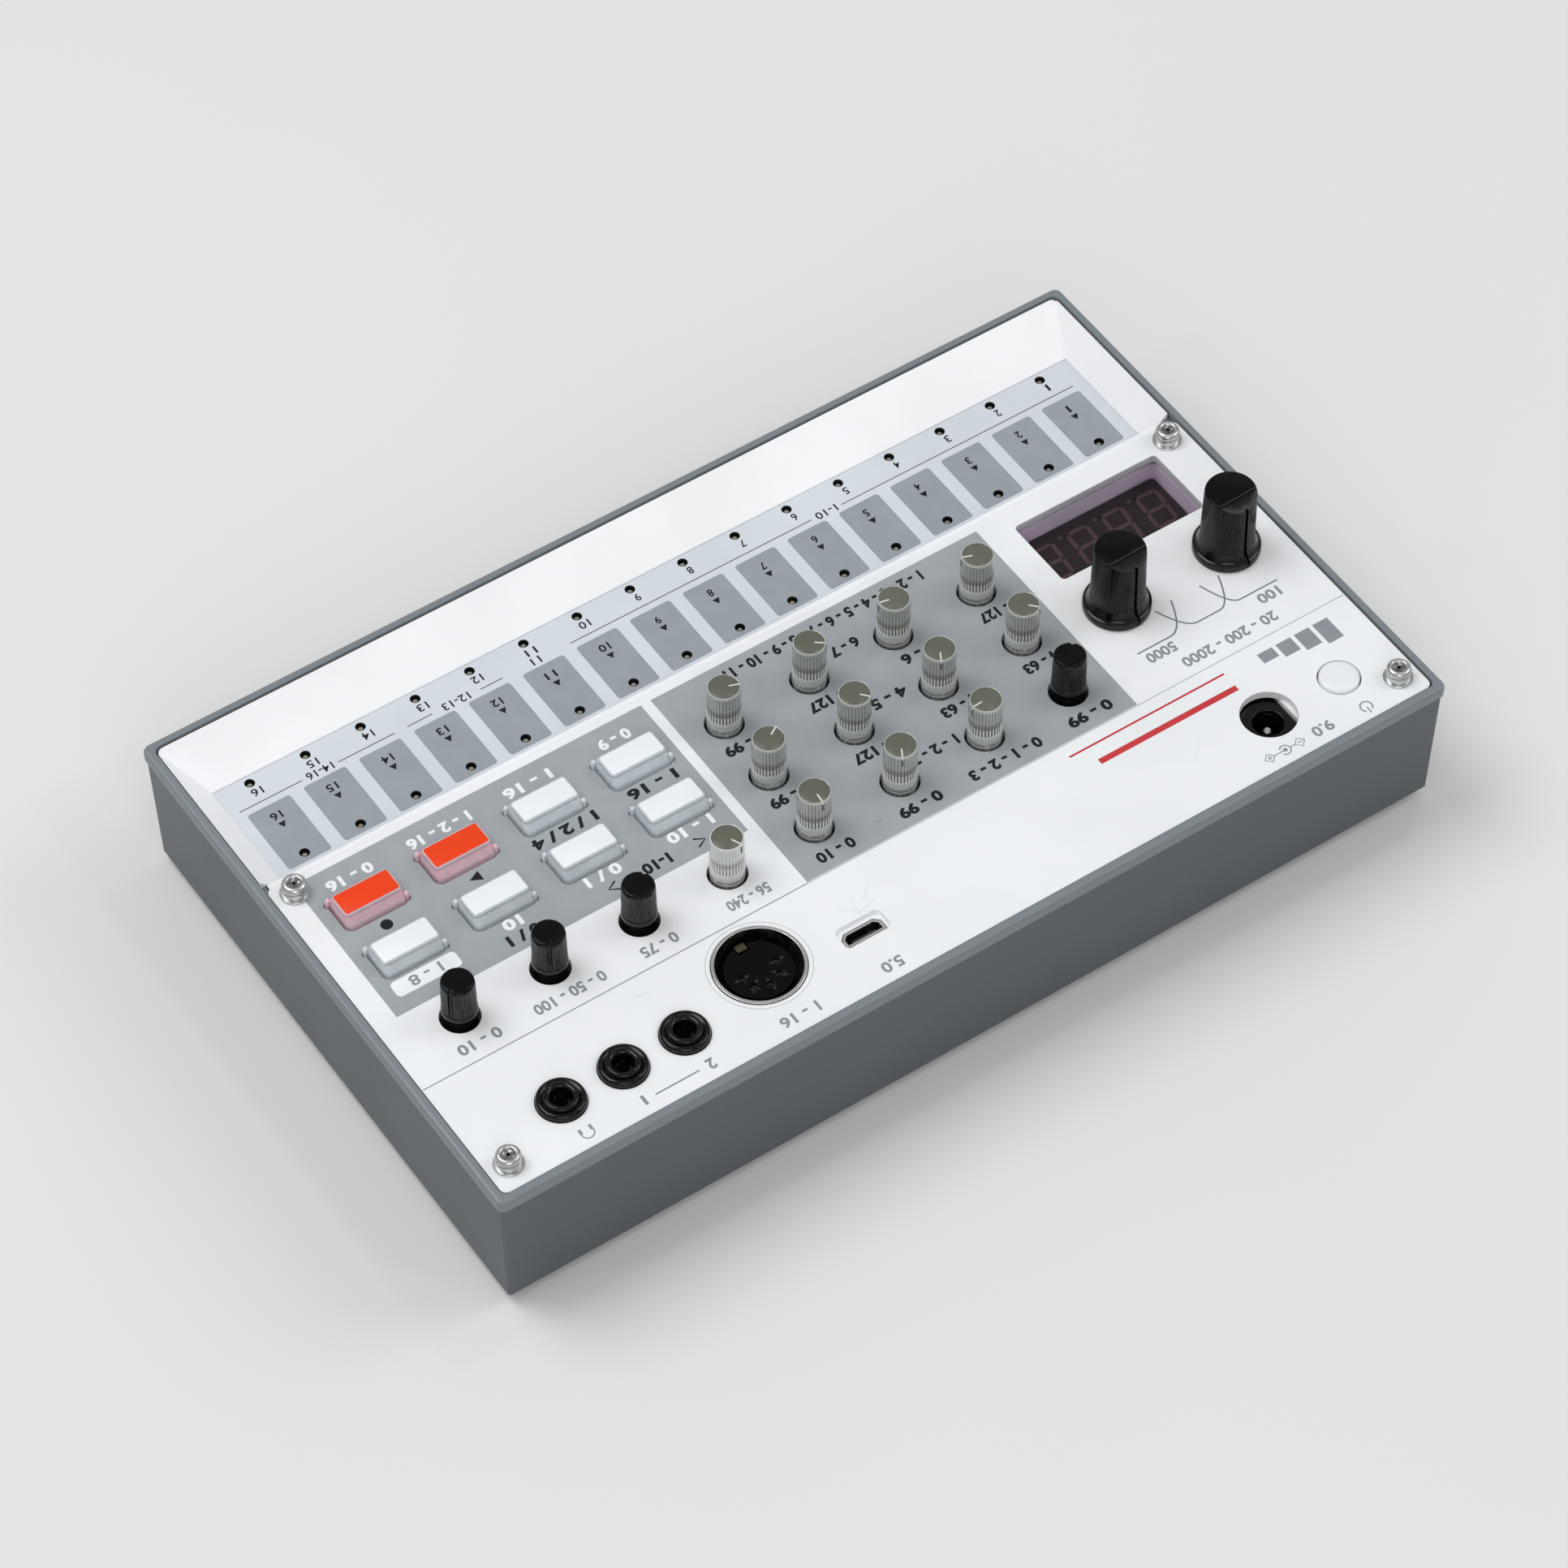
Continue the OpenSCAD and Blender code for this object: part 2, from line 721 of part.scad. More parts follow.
// flat cable with its two headers, and the header between the main board and the key board
module ribbon_cable() {
    ribbon_w = 14;
    ribbon_t = 0.8;
    header_h = 4;
    ribbon_x = -22;
    header_w = 2.6;
    y0 = main_rear - 1.5;
    y1 = main_rear + 11;
    top = board_z + header_h;
    foot = jack_z + header_h;
    color("whitesmoke") {
        translate([ribbon_x - ribbon_w / 2, y0 - header_w / 2, board_z])
            cube([ribbon_w, header_w, header_h]);
        translate([ribbon_x - ribbon_w / 2, y1 - header_w / 2, jack_z])
            cube([ribbon_w, header_w, header_h]);
        translate([ribbon_x + ribbon_w / 2, 0, 0])
            rotate([0, -90, 0])
                linear_extrude(ribbon_w)
                    polygon([
                        [top, y0 - 1.2], [top + ribbon_t, y0 - 1.2], [top + ribbon_t, y0 + 4.2],
                        [foot + ribbon_t, y1 + 1.2], [foot, y1 + 1.2], [foot, y1 - 1],
                        [top, y0 + 3]]);
        translate([-10, main_front + 0.5, board_z])
            cube([20, 2.5, key_z - board_t - board_z]);
    }
}

module pot_body(bore_d) {
    difference() {
        translate([-pot_w / 2, -pot_d / 2, 0])
            cube([pot_w, pot_d, pot_h]);
        translate([0, 0, pot_h + loose - stub_depth - 0.4])
            cylinder(d = bore_d + 2 * run_gap, h = stub_depth + eps);
    }
}

module small_pots() {
    color("dimgray")
        for (p = small_places)
            translate([col_x(p[0]), row_y(p[1]), board_z])
                pot_body(stub_d);
}

module large_pots() {
    color("dimgray")
        for (i = [0, 1])
            at(dial_at(i), board_z)
                pot_body(shaft_d);
}

// fluted rod: a polygon whose points step in and out
module fluted(d, count, depth, h) {
    points = 4 * count;
    linear_extrude(h)
        polygon([for (k = [0 : points - 1])
            let (r = d / 2 - (k % 4 < 2 ? 0 : depth), a = (k + 0.5) * 360 / points)
            [r * cos(a), r * sin(a)]]);
}

// small knob and its stub in one piece; the pointer starts at the rear and turns clockwise
module small_knob(i, pointer, tint) {
    p = small_places[i];
    foot = panel_z - knob_z0;
    band_h = knob_h - knob_collar_h - knob_cap_h;
    color(tint)
        translate([col_x(p[0]), row_y(p[1]), knob_z0])
            rotate([0, 0, -pointer])
                difference() {
                    union() {
                        translate([0, 0, -stub_depth])
                            cylinder(d = stub_d, h = stub_depth + 0.1);
                        cylinder(d = knob_collar_d, h = foot + knob_collar_h - 0.4);
                        translate([0, 0, foot + knob_collar_h - 0.4])
                            cylinder(d1 = knob_collar_d, d2 = knob_band_d + 0.1, h = 0.4);
                        translate([0, 0, foot + knob_collar_h])
                            fluted(knob_band_d, knob_flutes, flute_depth, band_h);
                        translate([0, 0, foot + knob_h - knob_cap_h])
                            cylinder(d = knob_top_d, h = knob_cap_h - 0.3);
                        translate([0, 0, foot + knob_h - 0.3])
                            cylinder(d1 = knob_top_d, d2 = knob_top_d - 0.5, h = 0.3);
                    }
                    translate([-pointer_w / 2, 0.5, foot + knob_h - pointer_depth])
                        cube([pointer_w, knob_top_d, 1]);
                    translate([-pointer_w / 2, knob_top_d / 2 - pointer_depth,
                        foot + knob_h - knob_cap_h - 0.4])
                        cube([pointer_w, knob_top_d, knob_cap_h + 1]);
                }
}

// section of a D-shaped shaft
module d_section(d) {
    difference() {
        circle(d = d);
        translate([-d / 2, -d / 2 - 1])
            square([d, d / 4 + 1]);
    }
}

module dial_shaft(i, pointer) {
    foot = board_z + pot_h + loose - stub_depth;
    color("silver")
        at(dial_at(i))
            rotate([0, 0, -pointer]) {
                translate([0, 0, foot])
                    cylinder(d = shaft_d, h = panel_z - foot);
                translate([0, 0, panel_z])
                    linear_extrude(shaft_top)
                        d_section(shaft_d);
            }
}

module dial_knob(i, pointer) {
    skirt_z = dial_flange_h + dial_skirt_h;
    top_z = dial_h - loose;
    groove_r = 0.22;
    lean = atan((dial_body_d - dial_top_d) / 2 / (top_z - skirt_z));
    color("black")
        at(dial_at(i), dial_z0)
            rotate([0, 0, -pointer])
                difference() {
                    union() {
                        cylinder(d = dial_flange_d, h = dial_flange_h);
                        translate([0, 0, dial_flange_h])
                            cylinder(d1 = dial_flange_d, d2 = dial_body_d, h = dial_skirt_h);
                        translate([0, 0, skirt_z])
                            cylinder(d1 = dial_body_d, d2 = dial_top_d, h = top_z - skirt_z);
                    }
                    translate([0, 0, -eps])
                        linear_extrude(shaft_top - loose + eps + run_gap)
                            d_section(shaft_d + 2 * run_gap);
                    for (k = [0 : dial_flutes - 1])
                        rotate([0, 0, (k + 0.5) * 360 / dial_flutes])
                            translate([dial_body_d / 2, 0, skirt_z])
                                rotate([0, -lean, 0])
                                    cylinder(r = groove_r, h = dial_h, $fn = 4);
                    // slanted facet towards the pointer, and the pointer's groove
                    translate([-dial_body_d, dial_facet, top_z])
                        rotate([-dial_slope, 0, 0])
                            cube([2 * dial_body_d, dial_body_d, 4]);
                    translate([-pointer_w / 2, dial_top_d / 2 - 0.5, skirt_z])
                        rotate([lean, 0, 0])
                            cube([pointer_w, 2, dial_h]);
                    translate([-pointer_w / 2, dial_flange_d / 2 - 0.8, -eps])
                        cube([pointer_w, 2, dial_h]);
                }
}

// foot of a button with a round nub at two opposite corners
module button_foot(grow) {
    rounded(button_foot_l + 2 * grow, button_foot_w + 2 * grow, foot_r + grow);
    nubs_at()
        circle(r = nub_r + grow);
}

module nubs_at() {
    for (side = [-1, 1])
        translate([side * button_foot_l / 2, -side * nub_y, 0])
            children();
}

module push_button(i, j, tint) {
    seat = under_z - loose - flange_t;
    color(tint)
        at(button_at(i, j)) {
            hull() {
                button_layer(button_h, button_l - 0.4, button_w - 0.4, 0.6);
                button_layer(button_h - 0.2, button_l, button_w, 0.8);
                button_layer(0.01, button_foot_l, button_foot_w, foot_r);
            }
            translate([0, 0, seat + flange_t])
                linear_extrude(panel_z - seat - flange_t)
                    button_foot(0);
            nubs_at()
                translate([0, 0, panel_z])
                    nub_cap();
            translate([0, 0, seat])
                linear_extrude(flange_t)
                    rounded(button_foot_l + 2.4, button_foot_w + 1.6, 1);
            translate([0, 0, board_z + switch_h - 1.2])
                cylinder(r = stem_r, h = seat - board_z - switch_h + 1.3);
        }
}

module button_layer(h, l, w, r) {
    translate([0, 0, panel_z + h - 0.01])
        linear_extrude(0.01, $fn = 32)
            rounded(l, w, r);
}

module nub_cap() {
    cylinder(r = nub_r, h = nub_h - 0.4);
    translate([0, 0, nub_h - 0.4])
        cylinder(r1 = nub_r, r2 = nub_r / 2, h = 0.4);
}

module tact_switches() {
    color("dimgray")
        for (i = [0 : 3])
            for (j = [0, 1])
                at(button_at(i, j), board_z)
                    difference() {
                        translate([-switch_side / 2, -switch_side / 2, 0])
                            cube([switch_side, switch_side, switch_h]);
                        translate([0, 0, switch_h - 1.2 - button_travel - loose])
                            cylinder(r = stem_r + loose, h = 5);
                    }
}

power_switch_top = under_z - loose - flange_t - power_travel - loose;

module power_switch() {
    color("dimgray")
        at(power_at, jack_z)
            difference() {
                translate([-4.25, -4.25, 0])
                    cube([8.5, 8.5, power_switch_top - jack_z]);
                translate([0, 0, 4])
                    cylinder(r = stem_r + loose, h = 20);
            }
}

module power_button() {
    seat = under_z - loose - flange_t;
    color("white")
        at(power_at) {
            translate([0, 0, seat + flange_t - 0.1])
                cylinder(d = power_d, h = panel_z + power_h - 0.4 - seat - flange_t + 0.1);
            translate([0, 0, panel_z + power_h - 0.4])
                cylinder(d1 = power_d, d2 = power_d - 0.7, h = 0.4);
            translate([0, 0, seat])
                cylinder(d = power_d + 1.6, h = flange_t);
            translate([0, 0, jack_z + 4 + power_travel + loose])
                cylinder(r = stem_r, h = seat - jack_z - 4 - power_travel - loose + 0.1);
        }
}

module display_module() {
    color("black")
        at(window_at, board_z)
            difference() {
                linear_extrude(module_h)
                    rounded(window_l - 0.4, window_w - 0.4, 0.8);
                for (i = [0 : 3])
                    translate([(i - 1.5) * window_l / 4 + 2.4, -4.6, module_h - 0.15])
                        cylinder(r = 0.5, h = 1);
            }
}

module display_bezel() {
    color("white")
        at(window_at, board_z)
            linear_extrude(under_z - window_flange - board_z)
                difference() {
                    rounded(window_l + 2 * window_margin, window_w + 2 * window_margin, 1.2);
                    rounded(window_l + 0.1, window_w + 0.1, 0.9);
                }
}

module display_window() {
    color([0.25, 0.15, 0.22, 0.6])
        at(window_at) {
            translate([0, 0, under_z - window_flange])
                linear_extrude(window_flange)
                    rounded(window_l + 2 * window_margin, window_w + 2 * window_margin, 1.2);
            translate([0, 0, under_z - 0.1])
                linear_extrude(panel_t - window_drop + 0.1)
                    rounded(window_l - 0.1, window_w - 0.1, 0.85);
        }
}

function key_x(i) = (i - (key_count - 1) / 2) * key_pitch;
key_overlap = 1.5;

module key_board() {
    color("lightsteelblue")
        translate([0, 0, key_z - board_t])
            linear_extrude(board_t)
                difference() {
                    translate([-keys_l / 2 - key_overlap, window_front - key_overlap])
                        square([keys_l + 2 * key_overlap,
                            panel_front - loose - window_front + key_overlap]);
                    lights_at()
                        circle(d = light_d);
                }
}

module lights_at() {
    for (i = [0 : key_count - 1])
        for (y = [window_front + light_row, window_rear - dot_row])
            translate([key_x(i) + light_shift, y])
                children();
}

module step_lights() {
    light_h = 0.7;
    color("tomato")
        translate([0, 0, key_z - board_t - light_h])
            linear_extrude(light_h)
                lights_at()
                    square([light_d + 1, light_d + 0.3], center = true);
}

// slope of a tray wall: rises from the lip to the panel's face over the given run
module slope_side(run, l, below) {
    rise = panel_z - key_z - tray_lip;
    drop = below ? tray_t * sqrt(1 + pow(rise / run, 2)) : 0;
    far = 3 * run;
    z_far = panel_z - drop + rise / run * (far - run);
    translate([0, l / 2, 0])
        rotate([90, 0, 0])
            linear_extrude(l)
                polygon(below
                    ? [[0, key_z - 5], [0, key_z + tray_lip - drop],
                        [far, z_far], [far, key_z - 5]]
                    : [[-case_l, key_z + tray_lip], [0, key_z + tray_lip], [far, z_far],
                        [far, rim_z + 20], [-case_l, rim_z + 20]]);
}

side_ramp = panel_right - keys_l / 2;

module key_tray() {
    color("white")
        difference() {
            translate([0, 0, key_z])
                linear_extrude(panel_z - key_z)
                    intersection() {
                        rounded(panel_l, 2 * panel_rear, panel_r);
                        translate([panel_left, tray_front])
                            square([panel_l, tray_back - tray_front]);
                    }
            // the basin above the slopes
            intersection() {
                translate([0, window_front, 0])
                    rotate([0, 0, -90])
                        slope_side(front_ramp, 2 * case_l, false);
                translate([keys_l / 2, 0, 0])
                    slope_side(side_ramp, 2 * case_w, false);
                translate([-keys_l / 2, 0, 0])
                    rotate([0, 0, 180])
                        slope_side(side_ramp, 2 * case_w, false);
                translate([-case_l, -case_w, key_z])
                    cube([2 * case_l, case_w + window_rear, 40]);
            }
            // the hollow under the slopes
            intersection() {
                union() {
                    translate([0, window_front - key_overlap - 0.3, 0])
                        rotate([0, 0, -90])
                            slope_side(front_ramp, 2 * case_l, true);
                    for (a = [0, 180])
                        rotate([0, 0, a])
                            translate([keys_l / 2 + key_overlap + 0.3, 0, 0])
                                slope_side(side_ramp, 2 * case_w, true);
                }
                translate([-case_l, -case_w, key_z - eps])
                    cube([2 * case_l, case_w + window_rear - tray_t, 40]);
            }
            // the window over the key board
            translate([-keys_l / 2, window_front, key_z - eps])
                cube([keys_l, window_rear - window_front, 20]);
            // the step under the control panel's front edge
            translate([panel_left - 1, window_rear - 0.01, under_z])
                cube([panel_l + 2, 20, 20]);
            // the flange that lies on the case's ledge
            difference() {
                translate([-case_l, -case_w, key_z - eps])
                    cube([2 * case_l, 2 * case_w, under_z - key_z + eps]);
                translate([-cavity_l / 2 + loose, -cavity_w / 2 + loose, key_z - 2])
                    cube([cavity_l - 2 * loose, cavity_w, 30]);
            }
            for (p = panel_screws_at)
                at(p, key_z - eps)
                    cylinder(r = boss_r + loose, h = 20);
        }
}

// rib under the panel beside the power inlet
rib_t = 2;
rib_h = 4;

module control_panel() {
    color("white") {
        panel_plate();
        at([inlet_at[0] - inlet_left - loose - rib_t, inlet_at[1] - inlet_w / 2 + eps], under_z - rib_h)
            cube([rib_t, inlet_w - 2 * eps, rib_h]);
    }
}

module panel_plate() {
    difference() {
        translate([0, 0, under_z])
            linear_extrude(panel_t)
                difference() {
                    translate([0, (panel_front + panel_rear) / 2])
                        rounded(panel_l, panel_w, panel_r);
                    for (p = small_places)
                        translate([col_x(p[0]), row_y(p[1])])
                            circle(d = knob_collar_d + 2 * knob_gap);
                    for (i = [0, 1])
                        translate(dial_at(i))
                            circle(d = shaft_d + 1);
                    for (i = [0 : 3])
                        for (j = [0, 1])
                            translate(button_at(i, j))
                                button_foot(button_gap);
                    for (p = panel_screws_at)
                        translate(p)
                            circle(d = screw_d + 0.5);
                    for (i = [0 : 2])
                        translate(jack_at(i))
                            circle(d = jack_bush_d + 0.3);
                    translate(din_at)
                        circle(d = din_d + 0.3);
                    translate(inlet_at)
                        circle(d = inlet_d);
                    translate(power_at)
                        circle(d = power_d + 2 * button_gap);
                    translate(window_at)
                        rounded(window_l, window_w, 0.9);
                }
            at(data_at, panel_z - data_recess)
                linear_extrude(panel_t)
                    rounded(9.1, 4.6, 1.2);
            at(data_at, under_z - eps)
                linear_extrude(panel_t)
                    data_outline(data_wall + 0.15);
    }
}

module panel_screws() {
    color("silver")
        for (p = panel_screws_at)
            at(p, panel_z) {
                difference() {
                    cylinder(d = washer_d, h = washer_t);
                    translate([0, 0, -eps])
                        cylinder(d = screw_d + 0.3, h = washer_t + 2 * eps);
                }
                translate([0, 0, washer_t])
                    panel_screw();
            }
}

module panel_screw() {
    difference() {
        union() {
            cylinder(d = screw_head_d, h = screw_head_h - 0.6);
            translate([0, 0, screw_head_h - 0.6])
                cylinder(d1 = screw_head_d, d2 = screw_head_d - 1.2, h = 0.6);
        }
        translate([0, 0, screw_head_h - 1.3])
            cross_recess(2.6, 0.7, 2);
        translate([0, 0, screw_head_h - 0.9])
            cylinder(r1 = 0.5, r2 = 1.1, h = 1);
    }
    translate([0, 0, -washer_t - panel_t - screw_depth])
        cylinder(d = screw_d, h = washer_t + panel_t + screw_depth + 0.1);
}

module jack_socket(i) {
    body_w = jack_pitch - 1.6;
    mouth = panel_z + jack_bush_h - jack_z;
    bush_r = jack_bush_d / 2;
    bore_r = jack_bore_d / 2;
    color("black")
        at(jack_at(i), jack_z)
            difference() {
                union() {
                    translate([-body_w / 2, -5.5, 0])
                        cube([body_w, 11, jack_body_h]);
                    rotate_extrude()
                        polygon([
                            [0, jack_body_h - 1], [bush_r, jack_body_h - 1],
                            [bush_r, mouth - 1.1], [bush_r - 0.35, mouth - 0.5],
                            [bush_r - 0.9, mouth - 0.3], [bush_r - 1.1, mouth],
                            [0, mouth]]);
                }
                translate([0, 0, mouth - 15])
                    cylinder(r = bore_r, h = 16);
                translate([0, 0, mouth - 0.5])
                    cylinder(r1 = bore_r, r2 = bore_r + 0.52, h = 0.52);
            }
}

din_floor = jack_z + 7;
din_core_z = panel_z - 1.2;

module din_shell() {
    color("silver")
        at(din_at, jack_z)
            difference() {
                cylinder(d = din_d, h = panel_z + 0.3 - jack_z);
                translate([0, 0, -eps])
                    cylinder(d = din_d - 2 * din_wall, h = 40);
            }
}

// centres of the five contact holes, an eighth of a turn apart, with the keyway in front
din_hole_r = 3.5;
din_hole_d = 1.8;
din_holes = [for (k = [0 : 4]) [din_hole_r * cos(45 * k), din_hole_r * sin(45 * k)]];

module din_insert() {
    color("black")
        at(din_at, jack_z)
            difference() {
                union() {
                    cylinder(d = din_d - 2 * din_wall - 0.1, h = din_floor - jack_z);
                    cylinder(d = din_core_d, h = din_core_z - jack_z);
                }
                for (p = din_holes)
                    translate([p[0], p[1], din_floor - jack_z])
                        cylinder(d = din_hole_d, h = 20);
                translate([-1.2, -din_core_d / 2 - 2, din_floor - jack_z])
                    cube([2.4, 3.6, 20]);
            }
}

data_top = panel_z - data_recess;
data_wall = 0.45;

module data_outline(grow) {
    polygon([
        [-3.45 - grow, 0.95 + grow], [3.45 + grow, 0.95 + grow],
        [3.45 + grow, -0.2 - grow * 0.4], [2.7 + grow * 0.5, -0.95 - grow],
        [-2.7 - grow * 0.5, -0.95 - grow], [-3.45 - grow, -0.2 - grow * 0.4]]);
}

module data_socket() {
    color("silver")
        at(data_at, board_z)
            difference() {
                union() {
                    translate([-4.2, -2.5, 0])
                        cube([8.4, 5, 2]);
                    linear_extrude(data_top - board_z)
                        data_outline(data_wall);
                }
                translate([0, 0, 3])
                    linear_extrude(20)
                        data_outline(0);
            }
}

inlet_top = under_z - 0.6;
inlet_depth = 10;
inlet_left = 4.1;
inlet_right = 5.6;
inlet_w = 12;
inlet_funnel = 0.35;

module inlet_socket() {
    color("black")
        at(inlet_at, jack_z)
            difference() {
                translate([-inlet_left, -inlet_w / 2, 0])
                    cube([inlet_left + inlet_right, inlet_w, inlet_top - jack_z]);
                translate([0, 0, inlet_top - jack_z - inlet_depth])
                    cylinder(d = inlet_bore_d, h = 20);
                translate([0, 0, inlet_top - jack_z - 3 * inlet_funnel])
                    cylinder(d1 = inlet_bore_d, d2 = inlet_bore_d + 2 * (inlet_funnel + eps / 3),
                        h = 3 * inlet_funnel + eps);
            }
}

// metal contacts: the power inlet's pin, the five sleeves of the round socket, the data tongue
module socket_pins() {
    color("gold") {
        at(inlet_at, inlet_top - inlet_depth) {
            cylinder(d = inlet_pin_d, h = inlet_depth - 2.3);
            translate([0, 0, inlet_depth - 2.3])
                cylinder(d1 = inlet_pin_d, d2 = inlet_pin_d - 0.8, h = 0.5);
        }
        for (p = din_holes)
            translate([din_at[0] + p[0], din_at[1] + p[1], din_floor])
                difference() {
                    cylinder(d = din_hole_d - 2 * run_gap, h = din_core_z - din_floor - 0.8);
                    translate([0, 0, 1])
                        cylinder(d = 1.2, h = 20);
                }
        at(data_at, board_z + 3)
            translate([-2.4, 0.15, 0])
                cube([4.8, 0.5, data_top - board_z - 3.6]);
    }
}

clear_tint = [0.8, 0.8, 0.76];
black_tint = [0.06, 0.06, 0.07];
red_tint = [0.92, 0.3, 0.15];
pale_tint = [0.93, 0.94, 0.95];

bottom_case();
rubber_feet();
battery_cover();
batteries();
battery_contacts();
speaker_frame();
speaker_cone();
main_board();
jack_board();
board_screws();
ribbon_cable();
small_pots();
large_pots();
tact_switches();
power_switch();
display_module();
display_bezel();
display_window();
key_board();
step_lights();
key_tray();
control_panel();
panel_screws();
jack_socket(0);  // headphone_jack
jack_socket(1);  // sync_out_jack
jack_socket(2);  // sync_in_jack
din_shell();
din_insert();
data_socket();
inlet_socket();
socket_pins();
power_button();
dial_shaft(1, -2);  // treble_shaft
dial_knob(1, -2);  // treble_knob
dial_shaft(0, -2);  // bass_shaft
dial_knob(0, -2);  // bass_knob
small_knob(0, 111, clear_tint);  // level_knob
small_knob(1, 102, clear_tint);  // pan_knob
small_knob(2, -53, clear_tint);  // amp_attack_knob
small_knob(3, -69, clear_tint);  // amp_decay_knob
small_knob(4, -43, clear_tint);  // speed_knob
small_knob(5, 29, clear_tint);  // eg_int_knob
small_knob(6, -40, clear_tint);  // pitch_attack_knob
small_knob(7, -120, clear_tint);  // pitch_decay_knob
small_knob(8, -135, black_tint);  // sample_knob
small_knob(9, 87, clear_tint);  // start_point_knob
small_knob(10, 28, clear_tint);  // length_knob
small_knob(11, 4, clear_tint);  // hi_cut_knob
small_knob(12, -24, clear_tint);  // tempo_knob
small_knob(13, -125, black_tint);  // swing_knob
small_knob(14, 29, black_tint);  // reverb_knob
small_knob(15, 59, black_tint);  // volume_knob
push_button(0, 0, pale_tint);  // write_button
push_button(1, 0, pale_tint);  // step_jump_button
push_button(2, 0, red_tint);  // active_step_button
push_button(3, 0, red_tint);  // step_rec_button
push_button(0, 1, pale_tint);  // memory_button
push_button(1, 1, pale_tint);  // step_mode_button
push_button(2, 1, pale_tint);  // solo_button
push_button(3, 1, pale_tint);  // func_button
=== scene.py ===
import math

import bmesh
import bpy
from bpy.props import FloatProperty, FloatVectorProperty, IntProperty, PointerProperty
from mathutils import Matrix, Vector


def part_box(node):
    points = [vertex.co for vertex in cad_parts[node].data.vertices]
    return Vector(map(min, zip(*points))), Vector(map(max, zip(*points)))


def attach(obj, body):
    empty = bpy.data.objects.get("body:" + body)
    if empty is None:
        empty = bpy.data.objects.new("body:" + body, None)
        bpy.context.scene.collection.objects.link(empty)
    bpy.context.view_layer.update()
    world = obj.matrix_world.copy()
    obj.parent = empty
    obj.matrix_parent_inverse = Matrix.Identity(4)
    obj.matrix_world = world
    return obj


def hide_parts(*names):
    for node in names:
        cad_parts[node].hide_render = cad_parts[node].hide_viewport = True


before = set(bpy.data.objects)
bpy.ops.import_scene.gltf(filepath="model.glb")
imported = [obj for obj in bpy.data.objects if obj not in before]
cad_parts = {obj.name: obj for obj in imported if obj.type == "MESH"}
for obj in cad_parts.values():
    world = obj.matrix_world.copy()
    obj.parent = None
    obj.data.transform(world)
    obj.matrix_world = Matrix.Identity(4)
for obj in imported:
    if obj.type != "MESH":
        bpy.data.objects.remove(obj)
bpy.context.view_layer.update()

bl_info = {
    "name": "Drum machine dressing",
    "version": (1, 0, 0),
    "blender": (4, 5, 0),
    "location": "3D View > Sidebar > Drum machine",
    "description": "Builds the visible pieces, the printing and the finishes of a table-top drum machine",
    "category": "Add Mesh",
}

MM = 0.001
PANEL_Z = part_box("control_panel")[1].z
KEY_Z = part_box("key_board")[1].z

# heights of the panel's face and of its underside, in millimetres
FACE = PANEL_Z / MM
UNDER = FACE - 1.6

# places and distances on the panel and the key board, in millimetres
KEYS = 16
KEY_PITCH = 11.09
LIGHT_SHIFT = 0.15
UPPER_LIGHTS_Y, KEY_LIGHTS_Y = -43.85, -25.65
FIGURE_PITCH = 7.56
ROUND_SOCKET = (34.95, 40.4)
INLET = (-67.3, 45.0)

# small knobs: the way each pointer faces, in degrees clockwise from the rear
CLEAR_KNOBS = {
    "level_knob": 111, "pan_knob": 102, "amp_attack_knob": -53, "amp_decay_knob": -69,
    "speed_knob": -43, "eg_int_knob": 29, "pitch_attack_knob": -40, "pitch_decay_knob": -120,
    "start_point_knob": 87, "length_knob": 28, "hi_cut_knob": 4, "tempo_knob": -24}
BLACK_KNOBS = {"sample_knob": -135, "swing_knob": -125, "reverb_knob": 29, "volume_knob": 59}
LARGE_KNOBS = {"treble_knob": -2, "bass_knob": -2}
WHITE_BUTTONS = ["write_button", "step_jump_button", "memory_button", "step_mode_button",
                 "solo_button", "func_button"]
RED_BUTTONS = ["active_step_button", "step_rec_button"]
JACKS = ["headphone_jack", "sync_out_jack", "sync_in_jack"]


def middle(node):
    """Middle of a node's footprint, in metres."""
    low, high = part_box(node)
    return Vector(((low.x + high.x) / 2, (low.y + high.y) / 2, 0))


def tone(red, green, blue):
    """Linear colour of a screen colour whose parts run from 0 to 255."""
    return tuple(
        c / 3294.6 if c <= 10 else ((c / 255 + 0.055) / 1.055) ** 2.4 for c in (red, green, blue))


def heights(node):
    """Lowest and highest point of a node, in millimetres."""
    low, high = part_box(node)
    return low.z / MM, high.z / MM


def key_x(i):
    """Middle of a key across the board, in millimetres."""
    return (i - (KEYS - 1) / 2) * KEY_PITCH


def length(name, description, default):
    """A size in metres, given in millimetres."""
    return FloatProperty(
        name=name, description=description, default=default * MM, min=0, max=0.1,
        subtype="DISTANCE", unit="LENGTH", precision=5)


def power(name, description, default):
    """A lamp's power, in watts."""
    return FloatProperty(name=name, description=description, default=default, min=0, unit="POWER")


def colour(name, description, default):
    return FloatVectorProperty(
        name=name, description=description, default=default, min=0, max=1, size=3, subtype="COLOR")


class CaseSettings(bpy.types.PropertyGroup):
    """Sizes and colours of the case, the tray and the control panel"""
    plastic: colour("Case", "Moulded plastic of the case and battery cover", tone(86, 92, 97))
    rim: colour("Rim", "Smoother plastic of the rim band", tone(123, 130, 135))
    panel: colour("Panel", "White face of the control panel", tone(240, 242, 244))
    tray: colour("Tray", "White plastic of the key tray", tone(247, 248, 250))
    key_face: colour("Key board", "Face of the touch-key board", tone(213, 219, 226))
    edge: length("Edge", "Rounding of the moulded edges", 0.16)
    cut_edge: length("Cut edge", "Break of the panel's cut edges", 0.07)


